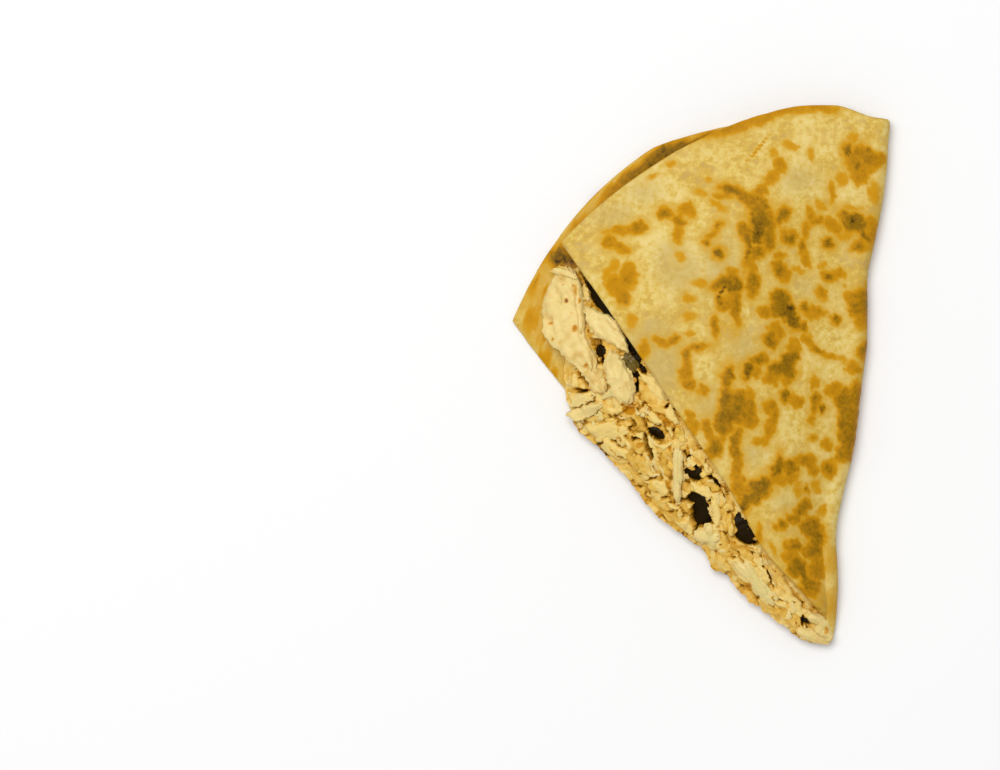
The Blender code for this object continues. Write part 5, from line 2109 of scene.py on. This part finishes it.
@dataclass
class FillingCore:
    """The pressed body of the filling, from inside the fold out to its cut face."""

    kit: FaceKit
    stations: int = 420
    roof_steps: int = 12
    slope_steps: int = 96
    nose_steps: int = 8
    base_steps: int = 10
    face_inset: float = 0.45 * MM
    nose_inset: float = -0.2 * MM
    nose_waves: tuple[Place, Place] = ((3.6, 0.60), (1.1, 0.40))
    nose_swells: tuple[tuple[float, float, float], ...] = (
        (54.0, 1.3, 8.0),
        (39.5, -0.9, 1.6),
        (35.0, 0.7, 2.5),
        (24.0, 0.5, 5.0),
        (80.0, 0.5, 4.0),
    )
    nose_round: float = 0.9
    hollow_depth: float = 2.6
    base_draw: float = 1.2 * MM

    def roof_point(self, station: float, across: float) -> Vector:
        """Point on the core's roof, under the upper leaf."""
        shape = self.kit.shape
        rim = shape.filling_rim(shape.upper_angle * across)
        radius = mix(shape.filling_start_radius, rim, station)
        angle = mix(shape.filling_start(radius), shape.face_edges(radius)[0], across)
        drop = self.face_inset * smooth_ramp(across, 0.7, 1.0)
        height = shape.roof_height(radius, angle) - drop
        lowest = shape.floor_height(radius, angle) + shape.gap
        return shape.polar(radius, angle, max(height, lowest))

    def base_point(self, station: float, across: float) -> Vector:
        """Point on the core's underside, on the lower leaf."""
        shape = self.kit.shape
        rim = shape.filling_rim(shape.upper_angle * across)
        radius = mix(shape.filling_start_radius, rim, station)
        inner, outer = shape.face_edges(radius)
        drawn = self.base_draw
        outer = max(outer - math.degrees(drawn / radius), inner)
        angle = mix(shape.filling_start(radius), outer, across)
        return shape.polar(radius, angle, shape.floor_height(radius, angle))

    def nose_draw(self, radius: float) -> float:
        """How far in metres the ragged outer edge draws in at a radius."""
        drawn = self.nose_inset / MM
        for number, (spacing, depth) in enumerate(self.nose_waves):
            drawn += depth * noise.noise(Vector((radius / MM / spacing, 5.5 * number, 2.0)))
        for at, swell, spread in self.nose_swells:
            drawn -= swell * math.exp(-(((radius / MM - at) / spread) ** 2))
        return drawn * MM

    def face_point(self, station: float, down: float) -> tuple[Vector, float, float]:
        """Point on the cut face, with its tone, which holds painted shade, and its sauce."""
        shape = self.kit.shape
        radius = mix(shape.filling_start_radius, shape.filling_end, station)
        inner, outer = shape.face_edges(radius)
        outer = max(outer - math.degrees(self.nose_draw(radius) / radius), inner)
        angle = mix(inner, outer, down)
        point = shape.polar(radius, angle, shape.slope_height(radius, angle))
        out, along = -point.x / MM, point.y / MM
        rise, tone = self.mass.at(out, along)
        # The hollows sink the face and paint it dark as shade
        hollow = self.kit.hollows.at(out, along)
        rise -= self.hollow_depth * smooth_ramp(hollow, 0.30, 1.0)
        tone = max(tone, hollow)
        normal = shape.face_normal((out, along))
        lowest = shape.floor_height(radius, angle) + shape.gap
        room = smooth_ramp(point.z - lowest, 0.0, 3.0 * MM)
        near_rim = 1.0 - smooth_ramp(down, 0.90, 1.0)
        point += normal * (rise * MM * mix(0.35, 1.0, room * near_rim) - self.face_inset)
        shape.keep_clear(point, self.kit.margin)
        point.z = max(point.z, lowest)
        return point, tone, self.kit.sauces.at(out, along)

    def nose_point(self, station: float, down: float) -> tuple[Vector, float, float]:
        """Point on the rounded outer side, between the cut face and the lower leaf."""
        top, tone, sauce = self.face_point(station, 1.0)
        low = self.base_point(station, 1.0)
        point = top.lerp(low, down)
        outward = Vector((top.x, top.y, 0.0)).normalized().cross(Vector((0.0, 0.0, -1.0)))
        rough = noise.noise(point / (1.3 * MM))
        bulge = self.nose_round * math.sin(math.pi * min(1.0, down * 1.3)) * (1.0 + rough)
        return point + outward * (bulge * MM * 0.5), clamp(tone + 0.2 * rough + 0.1), sauce

    def build(self, material: bpy.types.Material) -> bpy.types.Object:
        """Wrap a grid round the core and close its two ends."""
        self.mass = PressedMass(self.kit.shape)
        slope_end = self.roof_steps + self.slope_steps
        nose_end = slope_end + self.nose_steps
        steps = nose_end + self.base_steps
        batch = Batch()
        bm = batch.bm
        bmesh.ops.create_grid(bm, x_segments=steps, y_segments=self.stations, size=1.0)
        for vert in bm.verts:
            step = round((vert.co.x + 1.0) / 2.0 * steps) % steps
            station = (vert.co.y + 1.0) / 2.0
            tone, sauce = 0.4, 0.0
            if step < self.roof_steps:
                point = self.roof_point(station, step / self.roof_steps)
            elif step <= slope_end:
                down = (step - self.roof_steps) / self.slope_steps
                point, tone, sauce = self.face_point(station, down)
            elif step <= nose_end:
                down = (step - slope_end) / self.nose_steps
                point, tone, sauce = self.nose_point(station, down)
            else:
                point = self.base_point(station, 1.0 - (step - nose_end) / self.base_steps)
            vert.co = point
            vert[batch.tone] = clamp(tone)
            vert[batch.sauce] = sauce
        bmesh.ops.remove_doubles(bm, verts=bm.verts, dist=1e-6)
        bmesh.ops.holes_fill(bm, edges=[edge for edge in bm.edges if edge.is_boundary], sides=0)
        return self.kit.finish(
            "filling_core", batch, material, Slot.FILLING, ("filling",), 80.0
        )


@dataclass(frozen=True)
class Lobe:
    """One body of a piece: its ends, width and thickness in mm, and how high it lies.

    The edges are how far the outline lies to each side of the line between the ends, in mm.
    """

    ends: tuple[Place, Place]
    size: Place
    lift: float
    tone: float = 0.0
    bow: float = 0.0
    taper: float = 0.0
    edges: tuple[Place, ...] = ()


@dataclass(frozen=True)
class Morsel:
    """A piece of chicken that can be told apart, as one or more lobes."""

    name: str
    node: str
    lobes: tuple[Lobe, ...]


BREAST_PIECES = (
    Morsel(
        "breast_strip",
        "chicken_strip_large",
        (
            Lobe(
                ((73.6, 82.8), (65.3, 60.2)),
                (10.0, 4.6),
                -0.2,
                tone=0.14,
                edges=(
                    (5.0, 2.4),
                    (6.9, 3.0),
                    (8.3, 2.6),
                    (9.0, 1.6),
                    (9.2, 1.2),
                    (7.6, 1.4),
                    (5.4, 1.8),
                    (3.6, 2.8),
                ),
            ),
            Lobe(((71.0, 82.0), (67.8, 68.0)), (1.9, 2.6), 0.9, tone=0.12, bow=0.05, taper=0.2),
            Lobe(((73.0, 81.2), (70.6, 65.0)), (2.6, 2.4), 1.1, tone=0.52, taper=0.2),
            Lobe(((76.1, 82.7), (70.2, 81.3)), (1.5, 1.1), 1.7, bow=0.04),
        ),
    ),
    Morsel(
        "upper_shard",
        "chicken_shard_upper",
        (
            Lobe(
                ((67.9, 74.4), (57.1, 64.7)),
                (5.0, 3.0),
                0.8,
                tone=0.08,
                edges=(
                    (0.9, 1.2),
                    (2.2, 1.9),
                    (2.5, 3.1),
                    (2.1, 3.5),
                    (1.4, 3.1),
                    (1.0, 2.4),
                    (0.5, 1.3),
                ),
            ),
        ),
    ),
    Morsel(
        "middle_chunk",
        "chicken_chunk_middle",
        (
            Lobe(
                ((60.6, 65.0), (56.3, 52.8)),
                (6.0, 3.4),
                0.2,
                tone=0.06,
                edges=((2.2, 1.2), (3.1, 2.0), (2.9, 2.6), (2.6, 3.4), (2.5, 3.6), (2.0, 2.4)),
            ),
        ),
    ),
    Morsel(
        "inner_chunk",
        "chicken_chunk_inner",
        (
            Lobe(
                ((66.8, 59.4), (61.5, 54.9)),
                (4.6, 2.6),
                0.1,
                tone=0.40,
                edges=((0.9, 2.1), (1.2, 3.2), (1.6, 3.4), (1.6, 2.7), (1.2, 1.9)),
            ),
        ),
    ),
    Morsel(
        "outer_shard",
        "chicken_shard_outer",
        (
            Lobe(
                ((69.6, 48.9), (61.7, 52.0)),
                (3.2, 2.2),
                0.5,
                tone=0.02,
                edges=((1.2, 0.5), (2.5, 0.7), (2.4, 0.8), (2.1, 0.9), (1.0, 0.8)),
            ),
            Lobe(
                ((68.8, 50.9), (63.9, 53.2)),
                (2.6, 2.0),
                0.2,
                tone=0.10,
                edges=((0.8, 0.8), (0.6, 2.0), (0.5, 1.7), (0.3, 0.9)),
            ),
        ),
    ),
    Morsel(
        "straight_shred",
        "chicken_shred_straight",
        (
            Lobe(((42.8, 44.0), (41.2, 31.4)), (2.0, 1.8), 0.8, tone=0.04),
            Lobe(((42.0, 43.4), (41.0, 35.4)), (1.5, 1.4), 0.8, tone=0.14),
        ),
    ),
    Morsel(
        "lower_piece",
        "chicken_piece_lower",
        (
            Lobe(((36.2, 23.6), (30.2, 23.6)), (3.2, 2.2), 0.3, tone=0.03),
            Lobe(((33.6, 26.6), (31.0, 21.4)), (2.6, 2.0), 0.4, tone=0.08, taper=0.2),
        ),
    ),
    Morsel(
        "tip_strip",
        "chicken_strip_tip",
        (
            Lobe(((26.4, 18.4), (16.8, 10.4)), (2.8, 2.0), 0.3, tone=0.06, bow=0.04, taper=0.1),
            Lobe(((23.8, 18.4), (15.0, 10.2)), (2.2, 1.8), 0.2, tone=0.12, bow=-0.03, taper=0.2),
            Lobe(((21.8, 14.2), (15.6, 9.0)), (2.4, 1.6), 0.4, tone=0.03, taper=0.2),
        ),
    ),
)

# Beans under the mass, which shows them only through its gaps: ends, width and thickness
BEAN_PIECES = (
    # The upper bean lies in the dark band under the upper leaf's edge and also stands in for the
    # shade there
    ("upper_bean_and_shade", "bean_upper", (68.4, 80.4), (61.0, 73.2), 5.4, 3.6),
    ("inner_bean", "bean_inner", (65.6, 66.4), (62.2, 61.8), 4.2, 3.2),
    ("middle_bean", "bean_middle", (51.2, 47.8), (45.6, 44.6), 3.8, 3.0),
    ("small_bean", "bean_small", (41.0, 38.8), (35.8, 36.8), 4.4, 3.2),
    ("front_bean", "bean_front", (38.4, 33.4), (34.6, 24.4), 6.4, 3.8),
    ("lower_bean", "bean_lower", (27.6, 30.4), (22.4, 22.0), 6.6, 3.6),
)

# Pieces folded over the very tip: start, end, width, thickness, lift, bow and tone
TIP_PIECES = (
    ((9.6, 3.6), (1.0, 0.9), 2.6, 2.2, 0.2, 0.0, 0.22),
    ((7.2, 7.0), (1.6, 4.2), 2.6, 2.0, 0.0, 0.08, 0.12),
    ((5.4, 4.6), (1.2, 2.2), 2.6, 2.2, 0.5, 0.0, 0.26),
    ((3.4, 4.6), (0.9, 1.8), 2.2, 2.0, 0.9, 0.0, 0.18),
)


@dataclass
class PulledChicken:
    """Breast meat pulled into strips, chunks and shreds over the cut face."""

    kit: FaceKit
    seed: int = 41
    loose: int = 90
    clear_of: float = 0.30

    def build_pieces(self, material: bpy.types.Material) -> None:
        """Shape the pieces that can be told apart."""
        for number, morsel in enumerate(BREAST_PIECES):
            batch = Batch()
            for lobe in morsel.lobes:
                drawn = bool(lobe.edges)
                self.kit.lay(
                    batch,
                    *lobe.ends,
                    lobe.lift,
                    (64, 80) if drawn else (36, 40),
                    width=lobe.size[0],
                    thick=lobe.size[1],
                    bow=lobe.bow,
                    taper=lobe.taper,
                    tone=lobe.tone,
                    edges=lobe.edges,
                    level=0.6 if drawn else 0.0,
                    patch=0.55,
                    ragged=0.55 * MM if drawn else 0.25 * MM,
                    ridge=1.5 * MM if drawn else 0.4 * MM,
                    squareness=0.72 if drawn else 0.9,
                    fibre=0.04,
                    fibres=3.0,
                    lump=0.06 if drawn else 0.10,
                    fray=0.10,
                    blunt=9.0 if drawn else 5.0,
                    seed=5.0 + 3.7 * number + lobe.ends[0][0],
                )
            self.kit.finish(morsel.name, batch, material, Slot.CHICKEN, (morsel.node,))

    def build_tip(self, material: bpy.types.Material) -> bpy.types.Object:
        """Lay the pieces that wrap over the very tip."""
        batch = Batch()
        for number, row in enumerate(TIP_PIECES):
            start, end, width, thick, lift, bow, tone = row
            self.kit.lay(
                batch,
                start,
                end,
                lift,
                (30, 28),
                True,
                width=width,
                thick=thick,
                tone=tone,
                bow=bow,
                blunt=3.4,
                lump=0.12,
                ridge=0.3 * MM,
                seed=3.1 + 2.3 * number,
            )
        return self.kit.finish("tip_pieces", batch, material, Slot.CHICKEN)

    def build_shreds(self, material: bpy.types.Material) -> bpy.types.Object:
        """Scatter the small shreds that lie loose on the mass, clear of the hollows."""
        draw = random.Random(self.seed)
        shape = self.kit.shape
        batch = Batch()
        laid = 0
        while laid < self.loose:
            radius = draw.uniform(12.0, 108.0)
            inner, outer = shape.face_edges(radius * MM)
            width = math.radians(outer - inner) * radius
            if draw.random() * 22.0 > width:
                continue
            turn = math.radians(mix(inner, outer, draw.uniform(0.05, 0.97)))
            out, along = radius * math.sin(turn), radius * math.cos(turn)
            heading = draw.gauss(math.radians(38.0), math.radians(50.0))
            if self.kit.hollows.at(out, along) > self.clear_of:
                continue
            long = draw.triangular(1.2, 4.2, 2.0) * clamp(width / 12.0, 0.45, 1.0)
            half_out = math.sin(heading) * long / 2
            half_on = math.cos(heading) * long / 2
            self.kit.lay(
                batch,
                (out - half_out, along - half_on),
                (out + half_out, along + half_on),
                draw.uniform(-0.5, 0.25),
                (10, 10),
                width=draw.triangular(0.5, 1.9, 0.9),
                thick=draw.uniform(0.5, 0.9),
                bow=draw.gauss(0.0, 0.10),
                arch=draw.uniform(-0.02, 0.08),
                twist=draw.gauss(0.0, 0.5),
                fray=0.24,
                lump=0.30,
                ragged=0.2 * MM,
                grain=(0.7 * MM, 0.1 * MM),
                taper=draw.uniform(0.0, 0.7),
                tone=clamp(draw.gauss(0.20, 0.16)),
                seed=draw.uniform(0.0, 90.0),
            )
            laid += 1
        return self.kit.finish("chicken_shreds", batch, material, Slot.CHICKEN, (), 40.0)


@dataclass
class Beans:
    """Black beans buried in the mass."""

    kit: FaceKit
    sunk: float = 1.1

    def build(self, material: bpy.types.Material) -> None:
        """Shape each bean."""
        for number, row in enumerate(BEAN_PIECES):
            name, node, start, end, width, thick = row
            batch = Batch()
            self.kit.lay(
                batch,
                start,
                end,
                -self.sunk - thick / 2,
                (32, 28),
                width=width,
                thick=thick,
                bow=0.05,
                squareness=0.9,
                blunt=3.0,
                fibre=0.08,
                fibres=1.6,
                lump=0.16,
                fray=0.05,
                grain=(1.2 * MM, 0.0),
                tone=0.3,
                seed=2.0 + 5.3 * number,
            )
            self.kit.finish(name, batch, material, Slot.BEAN, (node,))


@dataclass
class PepperStrip:
    """A strip of roasted pepper beside the upper leaf's edge."""

    kit: FaceKit

    def build(self, material: bpy.types.Material) -> bpy.types.Object:
        """Shape the strip."""
        batch = Batch()
        self.kit.lay(
            batch,
            (58.2, 65.0),
            (54.6, 60.4),
            -1.5,
            (30, 28),
            width=2.9,
            thick=1.8,
            squareness=0.85,
            blunt=3.6,
            fibre=0.14,
            lump=0.22,
            tone=0.35,
            seed=17.0,
        )
        return self.kit.finish("wet_pepper", batch, material, Slot.PEPPER, ("pepper_strip",))


@dataclass
class Cheese:
    """Melted cheese in runs and dabs between the shreds."""

    kit: FaceKit
    seed: int = 77
    dabs: int = 30
    clear_of: float = 0.30

    def build(self, material: bpy.types.Material) -> bpy.types.Object:
        """Scatter the dabs, thickest in the middle of the cut face."""
        draw = random.Random(self.seed)
        shape = self.kit.shape
        batch = Batch()
        laid = 0
        while laid < self.dabs:
            radius = clamp(draw.gauss(66.0, 16.0), 9.0, 100.0)
            inner, outer = shape.face_edges(radius * MM)
            turn = math.radians(mix(inner, outer, draw.uniform(0.1, 0.9)))
            out, along = radius * math.sin(turn), radius * math.cos(turn)
            heading = draw.uniform(0.0, math.pi)
            long = draw.uniform(1.4, 3.4)
            half_out = math.sin(heading) * long / 2
            half_on = math.cos(heading) * long / 2
            if self.kit.hollows.at(out, along) > self.clear_of:
                continue
            self.kit.lay(
                batch,
                (out - half_out, along - half_on),
                (out + half_out, along + half_on),
                draw.uniform(-0.7, -0.1),
                (12, 10),
                width=draw.uniform(1.0, 2.2),
                thick=draw.uniform(0.6, 1.0),
                bow=draw.gauss(0.0, 0.12),
                arch=draw.uniform(0.0, 0.08),
                squareness=0.95,
                blunt=2.6,
                fibre=0.05,
                lump=0.30,
                fray=0.05,
                grain=(1.2 * MM, 0.05 * MM),
                tone=clamp(draw.gauss(0.45, 0.2)),
                seed=draw.uniform(0.0, 90.0),
            )
            laid += 1
        return self.kit.finish("melted_cheese", batch, material, Slot.FILLING, (), 60.0)


# --- the studio -----------------------------------------------------------------------------


@dataclass
class Studio:
    """A pale table top, soft light from above and the camera over the tray's middle."""

    shape: FoldShape
    floor_colour: str = "eeeeee"
    floor_size: float = 4.0
    sky: float = 0.48
    lamp_watts: float = 19.0
    lamp_size: float = 0.9
    lamp_place: tuple[float, float, float] = (-0.35, 0.30, 1.5)
    camera_place: Place = (86.4, 54.0)
    camera_height: float = 1.2
    camera_turn: float = 6.16
    sensor: float = 36.0
    view_width: float = 240.5 * MM

    def build_floor(self) -> None:
        """Lay the plain table top."""
        bm = bmesh.new()
        bmesh.ops.create_grid(bm, x_segments=1, y_segments=1, size=self.floor_size / 2)
        mesh = bpy.data.meshes.new("table_top")
        bm.to_mesh(mesh)
        bm.free()
        floor = bpy.data.objects.new("table_top", mesh)
        bpy.context.scene.collection.objects.link(floor)
        material = bpy.data.materials.new("matt_white_board")
        material.use_nodes = True
        shader = material.node_tree.nodes["Principled BSDF"]
        shader.inputs["Base Color"].default_value = linear(self.floor_colour)
        shader.inputs["Roughness"].default_value = 0.9
        mesh.materials.append(material)

    def build_light(self) -> None:
        """Hang one wide soft lamp and fill the room with even light."""
        lamp = bpy.data.lights.new("soft_box", "AREA")
        lamp.shape = "SQUARE"
        lamp.size = self.lamp_size
        lamp.energy = self.lamp_watts
        holder = bpy.data.objects.new("soft_box", lamp)
        holder.location = self.lamp_place
        aim = -Vector(self.lamp_place)
        holder.rotation_euler = aim.to_track_quat("-Z", "Y").to_euler()
        bpy.context.scene.collection.objects.link(holder)
        world = bpy.data.worlds.new("even_room")
        world.use_nodes = True
        sky = world.node_tree.nodes["Background"]
        sky.inputs["Color"].default_value = (1.0, 1.0, 1.0, 1.0)
        sky.inputs["Strength"].default_value = self.sky
        bpy.context.scene.world = world

    def build_camera(self) -> None:
        """Set the camera straight above, turned as the wedge lies in its tray."""
        camera = bpy.data.cameras.new("camera")
        camera.sensor_width = self.sensor
        camera.lens = self.sensor * self.camera_height / self.view_width
        holder = bpy.data.objects.new("camera", camera)
        out, along = self.camera_place
        holder.location = self.shape.tip + Vector((-out * MM, along * MM, self.camera_height))
        holder.rotation_euler = (0.0, 0.0, math.radians(self.camera_turn))
        bpy.context.scene.collection.objects.link(holder)
        bpy.context.scene.camera = holder

    def build(self) -> None:
        """Set up the whole studio, with plain colours in the picture."""
        self.build_floor()
        self.build_light()
        self.build_camera()
        bpy.context.scene.view_settings.view_transform = "Standard"


def main() -> None:
    """Build the wedge and its studio."""
    logging.basicConfig(level=logging.INFO, format="%(name)s: %(message)s")
    low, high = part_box("tortilla")
    # The tip of the wedge lies just inside the sheet's right side and just past its near end
    tip = Vector((high.x - 0.469 * MM, low.y - 0.525 * MM, low.z))
    shape = FoldShape(tip)
    kit = FaceKit(shape)
    Tortilla(shape).build(GriddledDough().make())
    FillingCore(kit).build(SAUCE_BOUND_MEAT.make())
    meat = BREAST_MEAT.make()
    chicken = PulledChicken(kit)
    chicken.build_pieces(meat)
    chicken.build_tip(meat)
    chicken.build_shreds(meat)
    Cheese(kit).build(MELTED_CHEESE.make())
    Beans(kit).build(BEAN_SKIN.make())
    PepperStrip(kit).build(PEPPER_FLESH.make())
    Studio(shape).build()
    bpy.context.view_layer.update()


if __name__ == "__main__":
    main()
